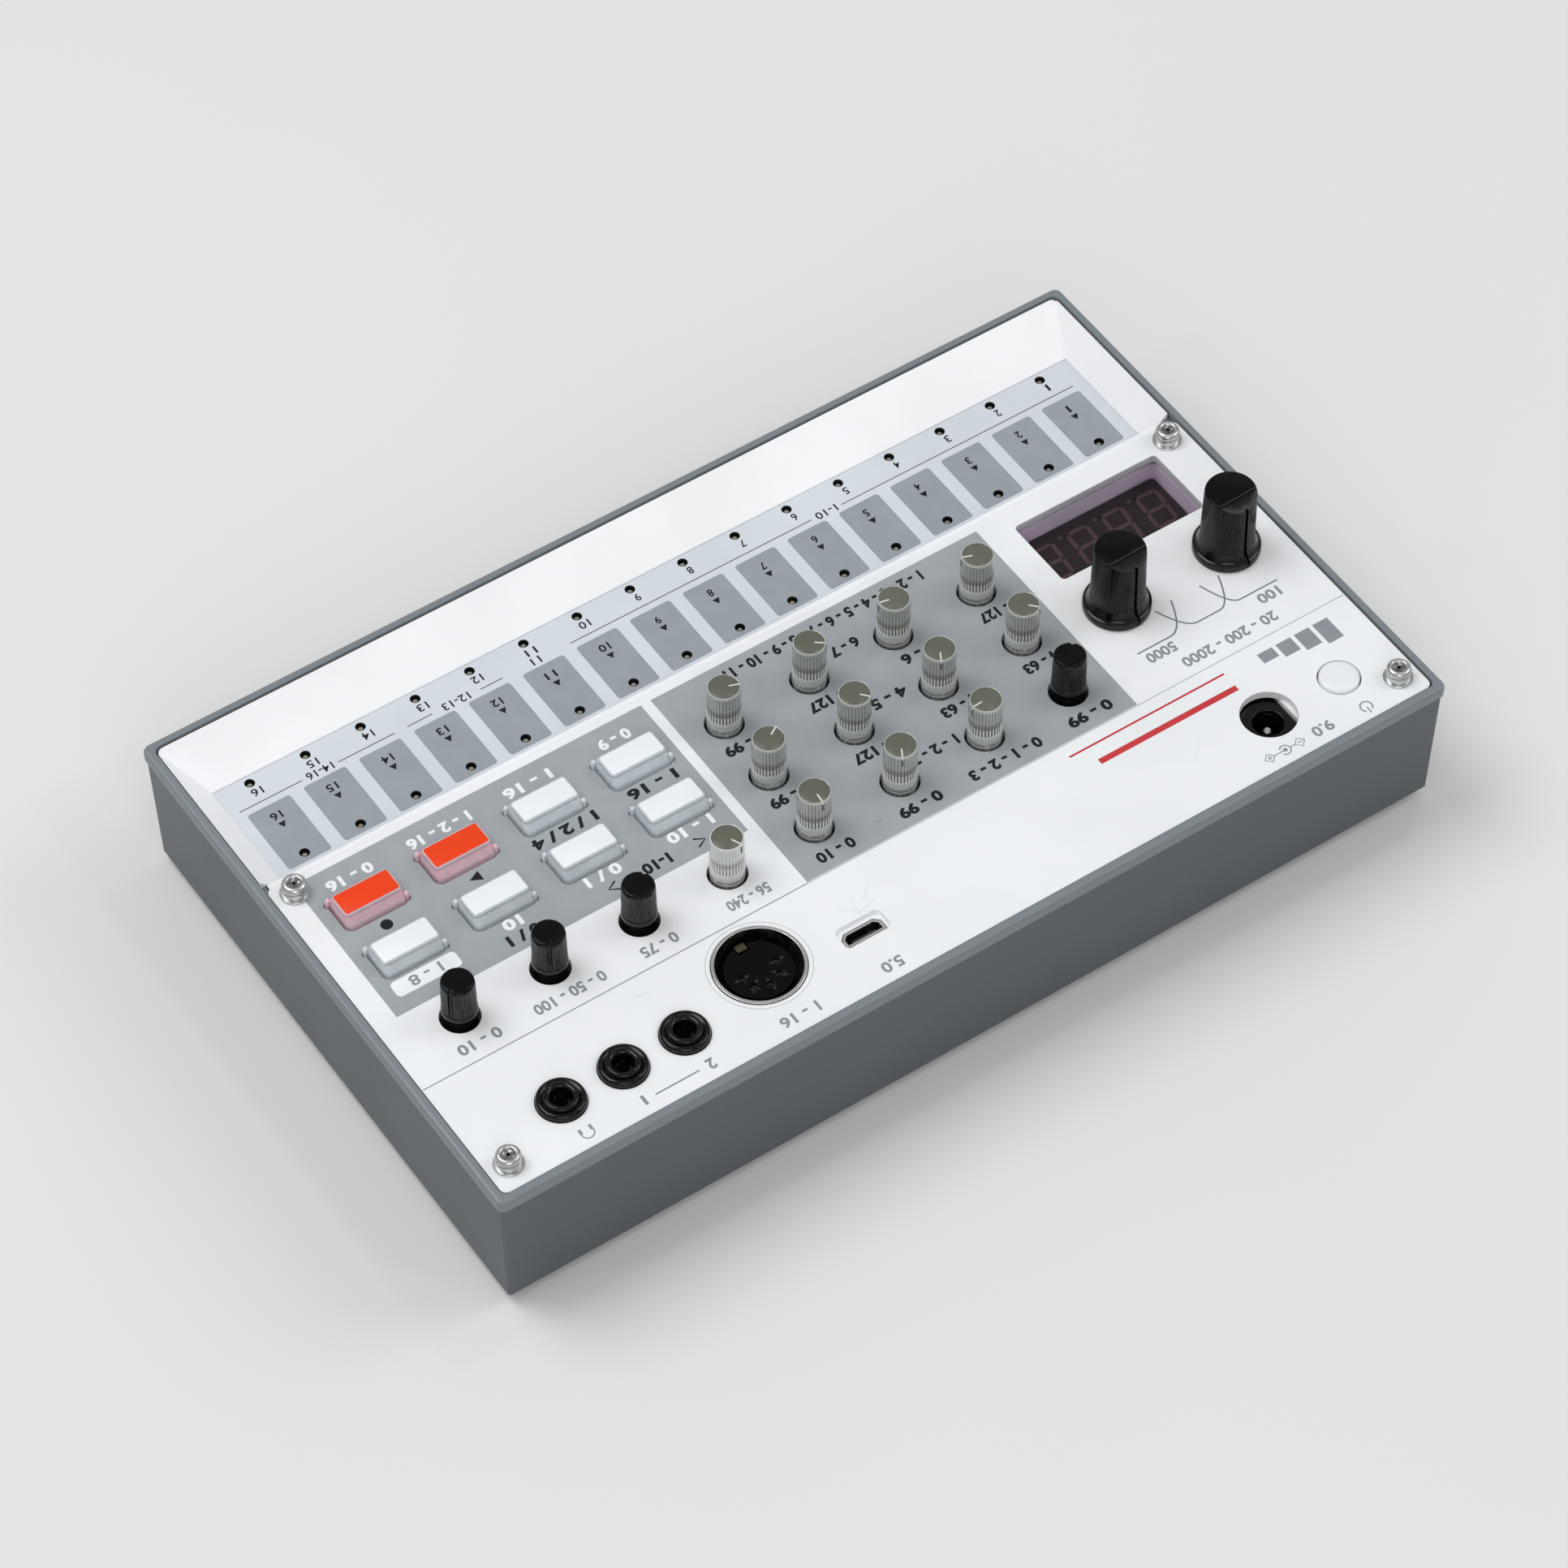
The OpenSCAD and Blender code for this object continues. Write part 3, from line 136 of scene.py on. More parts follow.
class PrintSettings(bpy.types.PropertyGroup):
    """Inks and sizes of the printing"""
    field: colour("Field", "Grey fields of the panel", tone(160, 166, 170))
    key: colour("Key", "Printed touch keys", tone(152, 159, 166))
    black: colour("Black ink", "Dark figures", tone(30, 33, 38))
    grey: colour("Grey ink", "Figures and signs on the white", tone(140, 145, 151))
    dark_grey: colour("Dark grey ink", "Response curves and long lines", tone(122, 127, 133))
    light_grey: colour("Light grey ink", "Thin lines on the white", tone(178, 182, 188))
    white: colour("White ink", "Figures on the grey field", tone(240, 243, 246))
    red: colour("Red ink", "Stripes beside the round button", tone(200, 48, 54))
    figure_h: length("Figure height", "Height of the panel's figures", 2.2)
    key_figure_h: length("Key figure height", "Height of the key board's figures", 1.7)
    lift: length("Ink thickness", "How far the ink stands above its face", 0.015)


class KnobSettings(bpy.types.PropertyGroup):
    """Sizes and colours of the knobs"""
    top_d: length("Top", "Diameter of a small knob's top", 5.6)
    band_d: length("Band", "Diameter of a small knob's ribbed band", 6.0)
    ring_d: length("Ring", "Diameter of the smooth ring under the ribs", 6.2)
    ring_z0: length("Ring foot", "Height of the ring's lower edge above the panel", 2.05)
    ring_z1: length("Ring top", "Height of the ring's upper edge above the panel", 3.0)
    band_z: length("Strong ribs", "Height above the panel where the ribs grow faint", 6.2)
    ribs: IntProperty(name="Ribs", description="Ribs round a small knob", default=32, min=12, max=60)
    rib_depth: length("Rib depth", "Depth of the grooves between the ribs", 0.14)
    large_ribs: IntProperty(
        name="Large ribs", description="Ribs round a large knob", default=64, min=24, max=120)
    # The cap's olive tone is painted shade: the dark inside of a clear knob seen down through its top
    olive: colour("Cap", "Flat cap seen in the clear knobs", tone(102, 103, 90))
    black: colour("Black", "Moulded black plastic", tone(11, 11, 12))


class ButtonSettings(bpy.types.PropertyGroup):
    """Sizes and colours of the buttons"""
    top_l: length("Length", "Length of a button's top", 11.0)
    top_w: length("Width", "Width of a button's top", 5.1)
    end_flare: length("End flare", "How much longer the foot is at each end", 0.35)
    side_flare: length("Side flare", "How much wider the foot is on each side", 1.3)
    border: length("Border", "Milky edge round the coloured inset", 0.28)
    white: colour("White", "White inset", tone(243, 246, 248))
    red: colour("Red", "Red inset", tone(244, 68, 20))
    side: colour("Sides", "Milky plastic of the white buttons", tone(213, 220, 226))
    red_side: colour("Red sides", "Milky plastic of the red buttons", tone(230, 186, 196))


class StageSettings(bpy.types.PropertyGroup):
    """Floor, lamps and camera"""
    floor: colour("Floor", "Pale floor", (0.80, 0.80, 0.79))
    key_power: power("Key lamp", "Power of the large soft lamp", 8.5)
    front_power: power("Front lamp", "Power of the soft lamp behind the camera", 3.6)
    side_power: power("Side lamp", "Power of the soft lamp at the left", 3.0)
    glint_power: power("Glints", "Power of each small lamp that makes the glints", 0.4)
    fill: FloatProperty(name="Sky", description="Strength of the even light", default=0.4, min=0)
    lens: FloatProperty(
        name="Lens", description="Focal length of the camera", default=130, min=10, unit="CAMERA")


class DrumMachineSettings(bpy.types.PropertyGroup):
    """All the settings of the drum machine"""
    case: PointerProperty(type=CaseSettings)
    printing: PointerProperty(type=PrintSettings)
    knobs: PointerProperty(type=KnobSettings)
    buttons: PointerProperty(type=ButtonSettings)
    stage: PointerProperty(type=StageSettings)


def settings():
    return bpy.context.scene.drum_machine


# Finishes -------------------------------------------------------------------------------------

class Value:
    """A number socket that takes part in sums; each sum adds its Math node."""

    def __init__(self, finish, socket):
        self.finish = finish
        self.socket = socket

    def _sum(self, operation, *terms):
        made = self.finish.node(
            "ShaderNodeMath", {"operation": operation}, dict(enumerate(terms)))
        return Value(self.finish, made.outputs[0])

    def __add__(self, other):
        return self._sum("ADD", self, other)

    def __sub__(self, other):
        return self._sum("SUBTRACT", self, other)

    def __mul__(self, other):
        return self._sum("MULTIPLY", self, other)

    def __rsub__(self, other):
        return self._sum("SUBTRACT", other, self)

    def __gt__(self, other):
        return self._sum("GREATER_THAN", self, other)

    def __lt__(self, other):
        return self._sum("LESS_THAN", self, other)

    __radd__ = __add__
    __rmul__ = __mul__

    def between(self, low, high):
        """0 below low, 1 above high, and smooth in between."""
        made = self.finish.node(
            "ShaderNodeMapRange", {"interpolation_type": "SMOOTHSTEP"},
            {"Value": self, "From Min": low, "From Max": high})
        return Value(self.finish, made.outputs[0])


class Finish:
    """A material with one Principled shader and the nodes that feed it."""

    def __init__(self, name, colour, roughness, **constants):
        self.material = bpy.data.materials.new(name)
        self.material.use_nodes = True
        self.tree = self.material.node_tree
        self.tree.nodes.clear()
        self.colour = tuple(colour)
        self.shader = self.node("ShaderNodeBsdfPrincipled", inputs={
            "Base Color": self.colour + (1,), "Roughness": roughness,
            **{key.replace("_", " "): value for key, value in constants.items()}})
        output = self.node("ShaderNodeOutputMaterial")
        self.tree.links.new(self.shader.outputs["BSDF"], output.inputs["Surface"])
        self.place = self.node("ShaderNodeTexCoord").outputs["Object"]

    def node(self, kind, parts=None, inputs=None):
        """Adds a node: its settings first, then the values or links of its sockets."""
        made = self.tree.nodes.new(kind)
        for key, value in (parts or {}).items():
            setattr(made, key, value)
        for key, value in (inputs or {}).items():
            self.feed(made.inputs[key], value)
        return made

    def feed(self, socket, value):
        if isinstance(value, Value):
            value = value.socket
        if isinstance(value, bpy.types.NodeSocket):
            self.tree.links.new(value, socket)
        else:
            socket.default_value = value

    def grain(self, size, detail=2.0, stretch=None):
        """Cloudy pattern from 0 to 1 whose spots are about size millimetres across."""
        place = self.place
        if stretch:
            place = self.node("ShaderNodeMapping", inputs={
                "Vector": place, "Scale": stretch}).outputs[0]
        made = self.node("ShaderNodeTexNoise", inputs={
            "Vector": place, "Scale": 1 / (size * MM), "Detail": detail})
        return Value(self, made.outputs["Fac"])

    def axis(self, index):
        """Distance along one axis, in millimetres."""
        made = self.node("ShaderNodeSeparateXYZ", inputs={0: self.place})
        return Value(self, made.outputs[index]) * 1000

    def blend(self, factor, first, second):
        """Colour that goes from first to second."""
        first, second = (
            c if isinstance(c, bpy.types.NodeSocket) else tuple(c) + (1,) for c in (first, second))
        return self.node("ShaderNodeMix", {"data_type": "RGBA"}, {
            0: factor, 6: first, 7: second}).outputs[2]

    def shade(self, amount):
        """The finish's own colour, made lighter or darker by a share."""
        return tuple(min(c * amount, 1) for c in self.colour)

    def set(self, **values):
        for key, value in values.items():
            self.feed(self.shader.inputs[key.replace("_", " ")], value)
        return self

    def relief(self, height, distance, strength=1.0):
        """Fine relief, distance millimetres high."""
        made = self.node("ShaderNodeBump", inputs={
            "Height": height, "Distance": distance * MM, "Strength": strength})
        return self.set(Normal=made.outputs[0])


def moulded(name, colour, roughness, grain=0.35, relief=0.02, soil=0.9, spots=0.25, **constants):
    """Moulded plastic: fine spark grain, slow change of gloss, and faint dust and handling."""
    made = Finish(name, colour, roughness, **constants)
    cloud = made.grain(26, 3).between(0.35, 0.7)
    speck = made.grain(0.9, 1).between(0.62, 0.74)
    mottled = made.blend(cloud, made.shade(soil), made.shade(1.03))
    made.set(
        Base_Color=made.blend(speck * spots, mottled, made.shade(1.12)),
        Roughness=cloud * 0.08 + speck * 0.05 + (roughness - 0.05))
    made.relief(made.grain(grain, 2), relief, 0.5)
    return made.material


def ink(name, colour, roughness=0.5, **constants):
    """Screen-printed ink with a slightly uneven lay."""
    made = Finish(name, colour, roughness, **constants)
    lay = made.grain(5, 4)
    made.set(
        Base_Color=made.blend(lay.between(0.3, 0.7), made.shade(0.965), made.shade(1.03)),
        Roughness=made.grain(1.2, 2) * 0.12 + (roughness - 0.06))
    return made.relief(made.grain(0.25, 2), 0.006, 0.4).material


def metal(name, colour, roughness, brushed=(1, 1, 1), relief=0.008):
    """Plated metal with fine tool lines and a few duller patches."""
    made = Finish(name, colour, roughness, Metallic=1.0)
    dull = made.grain(2.2, 3).between(0.4, 0.75)
    lines = made.grain(0.18, 2, stretch=brushed)
    made.set(
        Base_Color=made.blend(dull, made.shade(1.0), made.shade(0.82)),
        Roughness=dull * 0.14 + lines * 0.08 + (roughness - 0.04))
    return made.relief(lines, relief, 0.4).material


def rubber(name, colour):
    """Soft rubber: matt, with dust in its grain."""
    made = Finish(name, colour, 0.85)
    dust = made.grain(1.4, 4).between(0.45, 0.75)
    made.set(Base_Color=made.blend(dust, made.colour, made.shade(1.7)), Roughness=dust * 0.1 + 0.8)
    return made.relief(made.grain(0.3, 3), 0.05, 0.7).material


def board_finish():
    """Circuit board: green mask over copper tracks."""
    made = Finish("board_green", (0.018, 0.10, 0.05), 0.4, Specular_IOR_Level=0.6)
    tracks = made.node(
        "ShaderNodeTexVoronoi", {"feature": "DISTANCE_TO_EDGE", "distance": "MANHATTAN"},
        {"Vector": made.place, "Scale": 260.0})
    edge = Value(made, tracks.outputs["Distance"]) < 0.09
    made.set(
        Base_Color=made.blend(edge, made.colour, (0.05, 0.20, 0.09)),
        Roughness=edge * 0.08 + 0.36)
    return made.relief(edge, 0.03, 0.6).material


def cell_finish():
    """Shiny cell jackets of one plain colour, a little worn."""
    made = Finish("cell_jackets", (0.50, 0.33, 0.07), 0.35, Metallic=0.6)
    worn = made.grain(7, 3).between(0.4, 0.7)
    made.set(
        Base_Color=made.blend(worn, made.shade(0.9), made.shade(1.1)),
        Roughness=worn * 0.12 + 0.28)
    return made.material


def cone_finish():
    """Pressed paper cone with fibres."""
    made = Finish("cone_paper", (0.02, 0.02, 0.021), 0.9)
    fibre = made.grain(0.5, 5, stretch=(1, 3, 1))
    made.set(Base_Color=made.blend(fibre, made.shade(0.7), made.shade(1.9)))
    return made.relief(fibre, 0.08, 0.8).material


def grooved(made):
    """How deep a spot lies in a groove, 0 to 1."""
    return Value(made, made.node("ShaderNodeAttribute", {"attribute_name": "groove"}).outputs["Fac"])


def case_finish():
    """Case plastic with a smoother and lighter rim band."""
    case = settings().case
    made = Finish("case_plastic", case.plastic, 0.42)
    cloud = made.grain(26, 3).between(0.35, 0.7)
    rim = made.axis(2).between(27.6, 27.8)
    wall = made.blend(cloud, made.shade(0.93), made.shade(1.04))
    made.set(Base_Color=made.blend(rim, wall, case.rim), Roughness=cloud * 0.08 - rim * 0.06 + 0.42)
    return made.relief(made.grain(0.5, 2), 0.03, 0.5).material


def black_finish(name, roughness, top):
    """Black knob plastic with painted shade that makes it blacker in the grooves, shinier on its sides
    than on its top.
    """
    made = Finish(
        name, settings().knobs.black, roughness, Specular_IOR_Level=0.13, Coat_Roughness=0.12)
    sunk = grooved(made)
    wear = made.grain(1.6, 3).between(0.45, 0.75)
    side = 1 - made.axis(2).between(top - 0.4, top - 0.1)
    ridge = made.blend(wear, made.shade(0.9), made.shade(1.5))
    made.set(
        # Painted shade: the grooves, and the large knobs' pointer slots, are drawn at 0.3 of the black
        Base_Color=made.blend(sunk, ridge, made.shade(0.3)),
        Roughness=wear * 0.1 + sunk * 0.2 + (roughness - 0.04), Coat_Weight=side * 0.45)
    return made.relief(made.grain(0.3, 2), 0.008, 0.4).material


def clear_finish():
    """Opaque stand-in for the clear plastic of the small knobs, painted with the light and shade seen in
    and through it: bright rim and ring, bright ridges over dark grooves, ribs over a darker strip.

    Its tone is set by the knob's place as painted reflection, darker over the grey field and paler beside
    it.
    """
    made = Finish(
        "clear_skin", tone(236, 240, 240), 0.14, IOR=1.49, Coat_Weight=0.5, Coat_Roughness=0.05)
    height = made.axis(2) - FACE
    # Painted reflection: paler where the knob stands on the white panel beside the grey field
    pale = made.axis(0).between(18, 22)
    sunk = grooved(made)

    def painted_light_tones(field, white, groove_field, groove_white):
        """Painted light and shade: tone of ridge and groove, each on the grey field and beside it."""
        ridge = made.blend(pale, tone(*field), tone(*white))
        return made.blend(sunk, ridge, made.blend(pale, tone(*groove_field), tone(*groove_white)))

    # Painted light and shade by height: ridge and groove tones of foot, strong ribs, darker strip, wall
    # and rim
    foot = painted_light_tones((184, 187, 183), (204, 207, 205), (176, 179, 175), (198, 201, 199))
    low = painted_light_tones((228, 231, 228), (240, 242, 241), (84, 85, 80), (136, 137, 134))
    strip = painted_light_tones((143, 143, 132), (180, 180, 172), (106, 106, 96), (152, 152, 145))
    wall = painted_light_tones((172, 175, 171), (220, 223, 223), (132, 135, 129), (194, 197, 196))
    rim = made.blend(pale, tone(182, 185, 179), tone(214, 217, 215))
    shade = foot
    for z0, z1, upper in ((2.95, 3.05, low), (4.5, 4.9, strip), (5.6, 6.3, wall), (9.3, 9.6, rim)):
        shade = made.blend(height.between(z0, z1), shade, upper)
    made.set(Base_Color=shade, Roughness=made.grain(0.8, 2) * 0.08 + sunk * 0.1 + 0.08)
    return made.material


def skirt_finish():
    """Thin skirt of a clear knob, with painted shade towards its foot, as over a hole, and painted glints
    in streaks.
    """
    made = Finish("clear_skirt", tone(70, 71, 67), 0.07, IOR=1.49, Coat_Weight=0.6, Coat_Roughness=0.04)
    height = made.axis(2) - FACE
    # Painted glints: paler streaks in the darker foot, which is painted shade as over a hole
    painted_glints = made.grain(0.7, 2, stretch=(1, 1, 0.4)).between(0.52, 0.7)
    deep = made.blend(painted_glints, tone(112, 114, 111), tone(188, 191, 188))
    made.set(Base_Color=made.blend(height.between(0.6, 1.7), deep, tone(186, 188, 185)),
             Roughness=painted_glints * 0.06 + 0.05)
    return made.material


def window_finish():
    """Tinted window: a plum sheet that lets most of the light through."""
    made = Finish("tinted_window", (0.022, 0.012, 0.02), 0.06, Alpha=0.09, IOR=1.49)
    smear = made.grain(6, 3).between(0.45, 0.75)
    made.set(Roughness=smear * 0.06 + 0.04, Base_Color=made.blend(smear, made.colour, made.shade(1.3)))
    return made.material


def milky_finish(name, colour):
    """Milky button plastic: bright, with a little light passing through it."""
    made = Finish(name, colour, 0.28, Subsurface_Weight=0.6, Subsurface_Scale=0.0022,
                  Subsurface_Radius=(1.0, 0.8, 0.8), Coat_Weight=0.2, Coat_Roughness=0.15)
    cloud = made.grain(3.0, 2).between(0.3, 0.7)
    made.set(Base_Color=made.blend(cloud, made.shade(0.95), made.shade(1.03)),
             Roughness=cloud * 0.06 + 0.24)
    return made.relief(made.grain(0.6, 2), 0.01, 0.3).material


def floor_finish():
    """Plain pale floor."""
    made = Finish("pale_floor", settings().stage.floor, 0.7, Specular_IOR_Level=0.2)
    cloud = made.grain(220, 3).between(0.3, 0.7)
    made.set(Base_Color=made.blend(cloud, made.shade(0.985), made.shade(1.01)))
    return made.material


FINISHES = {}


def finish(name):
    """The named finish, made the first time it is asked for."""
    if name in FINISHES:
        return FINISHES[name]
    use = settings()
    case, inks, knobs, buttons = use.case, use.printing, use.knobs, use.buttons
    makers = {
        "case": case_finish,
        "panel": lambda: moulded("panel_white", case.panel, 0.36, 1.2, 0.01, 0.98, 0.05),
        "tray": lambda: moulded("tray_white", case.tray, 0.33, 1.0, 0.01, 0.975, 0.05),
        "key_face": lambda: moulded("key_face", case.key_face, 0.30, 0.8, 0.006, 0.97, 0),
        "field": lambda: ink("field_ink", inks.field, 0.42),
        "key": lambda: ink("key_ink", inks.key, 0.36),
        "black_ink": lambda: ink("black_ink", inks.black, 0.55, Specular_IOR_Level=0.15),
        "grey_ink": lambda: ink("grey_ink", inks.grey),
        "light_ink": lambda: ink("light_ink", inks.light_grey),
        "dark_ink": lambda: ink("dark_grey_ink", inks.dark_grey),
        "white_ink": lambda: ink("white_ink", inks.white),
        "red_ink": lambda: ink("red_ink", inks.red),
        "clear": clear_finish,
        "skirt": skirt_finish,
        # Pale bead round a clear knob's skirt: its pale tone is a painted highlight for the bright foot
        # of the clear plastic
        "bead": lambda: moulded(
            "skirt_bead_painted_highlight", tone(168, 171, 168), 0.12, 0.5, 0.004, 0.96, 0, Coat_Weight=0.8),
        # Olive cap under a clear knob's top: its tone is painted shade, the knob's dark inside seen
        # through the clear top
        "cap": lambda: moulded(
            "knob_cap", knobs.olive, 0.3, 0.5, 0.01, 0.92, 0.1, Specular_IOR_Level=0.35),
        "post": lambda: metal("knob_post", (0.86, 0.87, 0.87), 0.18),
        # Clear knob pointer: the white strips are a painted highlight for the bright pointer groove, and
        # the dark strip paints the groove's shade down the side
        "pointer_painted_highlight": lambda: ink("pointer_painted_highlight", (0.74, 0.74, 0.71), 0.4),
        "pointer_slot_shade": lambda: ink("pointer_slot_shade", tone(96, 95, 90), 0.4),
        "knob_black": lambda: black_finish("knob_black", 0.22, heights("volume_knob")[1]),
        "knob_gloss": lambda: black_finish("knob_gloss", 0.16, heights("treble_knob")[1]),
        # Grey bar along a large knob's chord: a painted highlight for the light caught on the edge
        # between the top and the slanted facet
        "chord": lambda: moulded("chord_painted_highlight", tone(70, 74, 80), 0.3, 0.4, 0.004, 0.9, 0),
        "button_white": lambda: moulded("button_white", buttons.white, 0.32, 0.8, 0.006, 0.985, 0),
        "button_red": lambda: moulded(
            "button_red", buttons.red, 0.36, 0.8, 0.006, 0.96, 0, Specular_IOR_Level=0.25),
        "button_side": lambda: milky_finish("button_side", buttons.side),
        "button_red_side": lambda: milky_finish("button_red_side", buttons.red_side),
        "power_white": lambda: moulded("power_white", tone(236, 238, 240), 0.34, 0.8, 0.006, 0.98, 0),
        "nickel": lambda: metal("screw_nickel", (0.60, 0.61, 0.61), 0.26, (1, 1, 6), 0.004),
        # Darker metal of the screws' cross recess: painted shade
        "screw_recess_shade": lambda: metal("screw_recess", (0.22, 0.22, 0.23), 0.4),
        "ring": lambda: metal("ring_nickel", (0.74, 0.73, 0.70), 0.2, (1, 1, 8), 0.002),
        "steel": lambda: metal("pressed_steel", (0.55, 0.56, 0.57), 0.34),
        "clip": lambda: metal("dull_clip", (0.10, 0.085, 0.055), 0.5),
        "tin": lambda: metal("tinned_contact", (0.72, 0.72, 0.70), 0.24),
        "insert": lambda: moulded(
            "insert_black", tone(9, 9, 10), 0.4, 0.6, 0.008, 0.85, 0.1, Specular_IOR_Level=0.08),
        "wear": lambda: ink("wear_marks", tone(218, 222, 226), 0.3),
        "socket": lambda: moulded(
            "socket_black", tone(11, 11, 12), 0.12, 0.9, 0.003, 0.85, 0.1, Specular_IOR_Level=0.32),
        "component": lambda: moulded("component_dark", tone(46, 47, 50), 0.5, 0.4, 0.02, 0.85),
        "rubber": lambda: rubber("foot_rubber", (0.035, 0.035, 0.037)),
        "board": board_finish,
        "cells": cell_finish,
        "cone": cone_finish,
        "ribbon": lambda: moulded("ribbon_grey", tone(205, 205, 200), 0.5, 0.9, 0.02, 0.9),
        "window": window_finish,
        "display": lambda: moulded("display_face", tone(30, 14, 22), 0.4, 0.6, 0.01, 0.9),
        "segment": lambda: moulded("display_segment", tone(86, 60, 69), 0.4, 0.5, 0.01, 0.95),
        "bezel": lambda: moulded("bezel_white", tone(250, 230, 255), 0.5, 0.6, 0.01, 0.96),
        "light": lambda: moulded("light_body", tone(150, 140, 130), 0.4, 0.4, 0.01, 0.9),
        "lens": lambda: moulded("light_lens", tone(150, 148, 137), 0.18, 0.6, 0.008, 0.85),
        "sleeve": lambda: moulded("light_sleeve", tone(20, 20, 22), 0.5, 0.6, 0.008, 0.85),
        "floor": floor_finish,
    }
    FINISHES[name] = makers[name]()
    return FINISHES[name]


# Shapes ---------------------------------------------------------------------------------------

def piece(name, bm, look, body="chassis", replaces=(), smooth=32, flat=False, even=False):
    """Closes a mesh into a finished object that rides on a body; even keeps its large faces flat."""
    bmesh.ops.remove_doubles(bm, verts=bm.verts[:], dist=2e-7)
    bmesh.ops.recalc_face_normals(bm, faces=bm.faces[:])
    if flat:
        bmesh.ops.reverse_faces(bm, faces=[f for f in bm.faces if f.normal.z < 0])
    mesh = bpy.data.meshes.new(name)
    bm.edges.index_update()
    hard = [e.index for e in bm.edges if not e.smooth]
    bm.to_mesh(mesh)
    bm.free()
    mesh.materials.append(finish(look))
    mesh.shade_smooth()
    mesh.set_sharp_from_angle(angle=math.radians(smooth))
    for index in hard:
        mesh.edges[index].use_edge_sharp = True
    made = bpy.data.objects.new(name, mesh)
    bpy.context.scene.collection.objects.link(made)
    if even:
        level = made.modifiers.new("even_faces", "WEIGHTED_NORMAL")
        level.keep_sharp = True
    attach(made, body)
    if replaces:
        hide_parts(*replaces)
    return made


def repaint(look, *nodes):
    """Gives the machine's own nodes a finish."""
    for node in nodes:
        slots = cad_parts[node].data.materials
        if not slots:
            slots.append(finish(look))
        for i in range(len(slots)):
            slots[i] = finish(look)


def break_edges(bm, width, segments=2, sharp=28, edges=None):
    """Rounds the sharp edges by a small width."""
    chosen = [e for e in (edges or bm.edges)
              if e.is_manifold and e.calc_face_angle(0) > math.radians(sharp)]
    bmesh.ops.bevel(
        bm, geom=chosen, offset=width, offset_type="OFFSET", segments=segments, profile=0.5,
        affect="EDGES", material=-1, clamp_overlap=True, loop_slide=True)


def solid_copy(node):
    """A merged copy of a node's mesh, with its flat faces joined."""
    bm = bmesh.new()
    bm.from_mesh(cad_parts[node].data)
    bmesh.ops.remove_doubles(bm, verts=bm.verts[:], dist=2e-6)
    bmesh.ops.dissolve_limit(
        bm, angle_limit=math.radians(0.4), use_dissolve_boundaries=False,
        verts=bm.verts[:], edges=bm.edges[:])
    return bm


def softened(node, width, look, body="chassis", segments=2, smooth=32):
    """Stands for a node with the same shape and softly broken edges."""
    bm = solid_copy(node)
    break_edges(bm, width, segments)
    return piece(node + "_shape", bm, look, body, (node,), smooth, even=True)


def lathe(bm, profile, steps=64, centre=(0, 0, 0)):
    """Turns a line of radius and height pairs, in millimetres, about an upright axis."""
    verts = [bm.verts.new((r * MM, 0, z * MM)) for r, z in profile]
    edges = [bm.edges.new(pair) for pair in zip(verts, verts[1:])]
    before = set(bm.verts) - set(verts)
    bmesh.ops.spin(
        bm, geom=verts + edges, cent=(0, 0, 0), axis=(0, 0, 1), angle=2 * math.pi, steps=steps,
        use_merge=True)
    made = [v for v in bm.verts if v not in before]
    bmesh.ops.remove_doubles(bm, verts=made, dist=2e-7)
    made = [v for v in bm.verts if v not in before]
    bmesh.ops.translate(bm, verts=made, vec=centre)
    return made


def block(bm, size, place):
    """A small bar or block: its size and its middle are in millimetres."""
    made = bmesh.ops.create_cube(bm, size=MM)["verts"]
    bmesh.ops.scale(bm, vec=size, verts=made)
    bmesh.ops.translate(bm, vec=[c * MM for c in place], verts=made)
    return made


def grooved_mesh():
    """An empty mesh with a number at each corner that tells how deep it lies in a groove."""
    bm = bmesh.new()
    bm.verts.layers.float.new("groove")
    return bm


def ribbed(bm, verts, z0, z1, count, depth):
    """Sinks every other pair of upright lines of a turned shape between two heights."""
    groove = bm.verts.layers.float["groove"]
    for v in verts:
        if z0 * MM <= v.co.z <= z1 * MM and v.co.xy.length > 2.7 * MM:
            step = round(math.atan2(v.co.y, v.co.x) / (2 * math.pi) * 4 * count) % 4
            if step >= 2:
                v.co.xy *= 1 - depth * MM / v.co.xy.length
                v[groove] = 1


def rounded_plate(bm, length_x, width_y, radius, z):
    """A flat rounded rectangle; returns its face."""
    before = set(bm.faces)
    made = bmesh.ops.create_grid(bm, x_segments=1, y_segments=1, size=0.5)["verts"]
    bmesh.ops.scale(bm, vec=(length_x, width_y, 1), verts=made)
    bmesh.ops.translate(bm, vec=(0, 0, z), verts=made)
    bmesh.ops.bevel(
        bm, geom=made, offset=radius, offset_type="OFFSET", segments=5, profile=0.5,
        affect="VERTICES", material=-1)
    return [f for f in bm.faces if f not in before][0]


def push_out(bm, face, steps):
    """Extrudes a face through (dx, dy, dz) steps, where dx and dy grow its outline."""
    for grow_x, grow_y, rise in steps:
        box_x = max(v.co.x for v in face.verts) - min(v.co.x for v in face.verts)
        box_y = max(v.co.y for v in face.verts) - min(v.co.y for v in face.verts)
        made = bmesh.ops.extrude_face_region(bm, geom=[face])
        verts = [g for g in made["geom"] if isinstance(g, bmesh.types.BMVert)]
        face = [g for g in made["geom"] if isinstance(g, bmesh.types.BMFace)][0]
        bmesh.ops.scale(bm, verts=verts, vec=(
            (box_x + 2 * grow_x) / box_x, (box_y + 2 * grow_y) / box_y, 1))
        bmesh.ops.translate(bm, verts=verts, vec=(0, 0, rise))
    return face


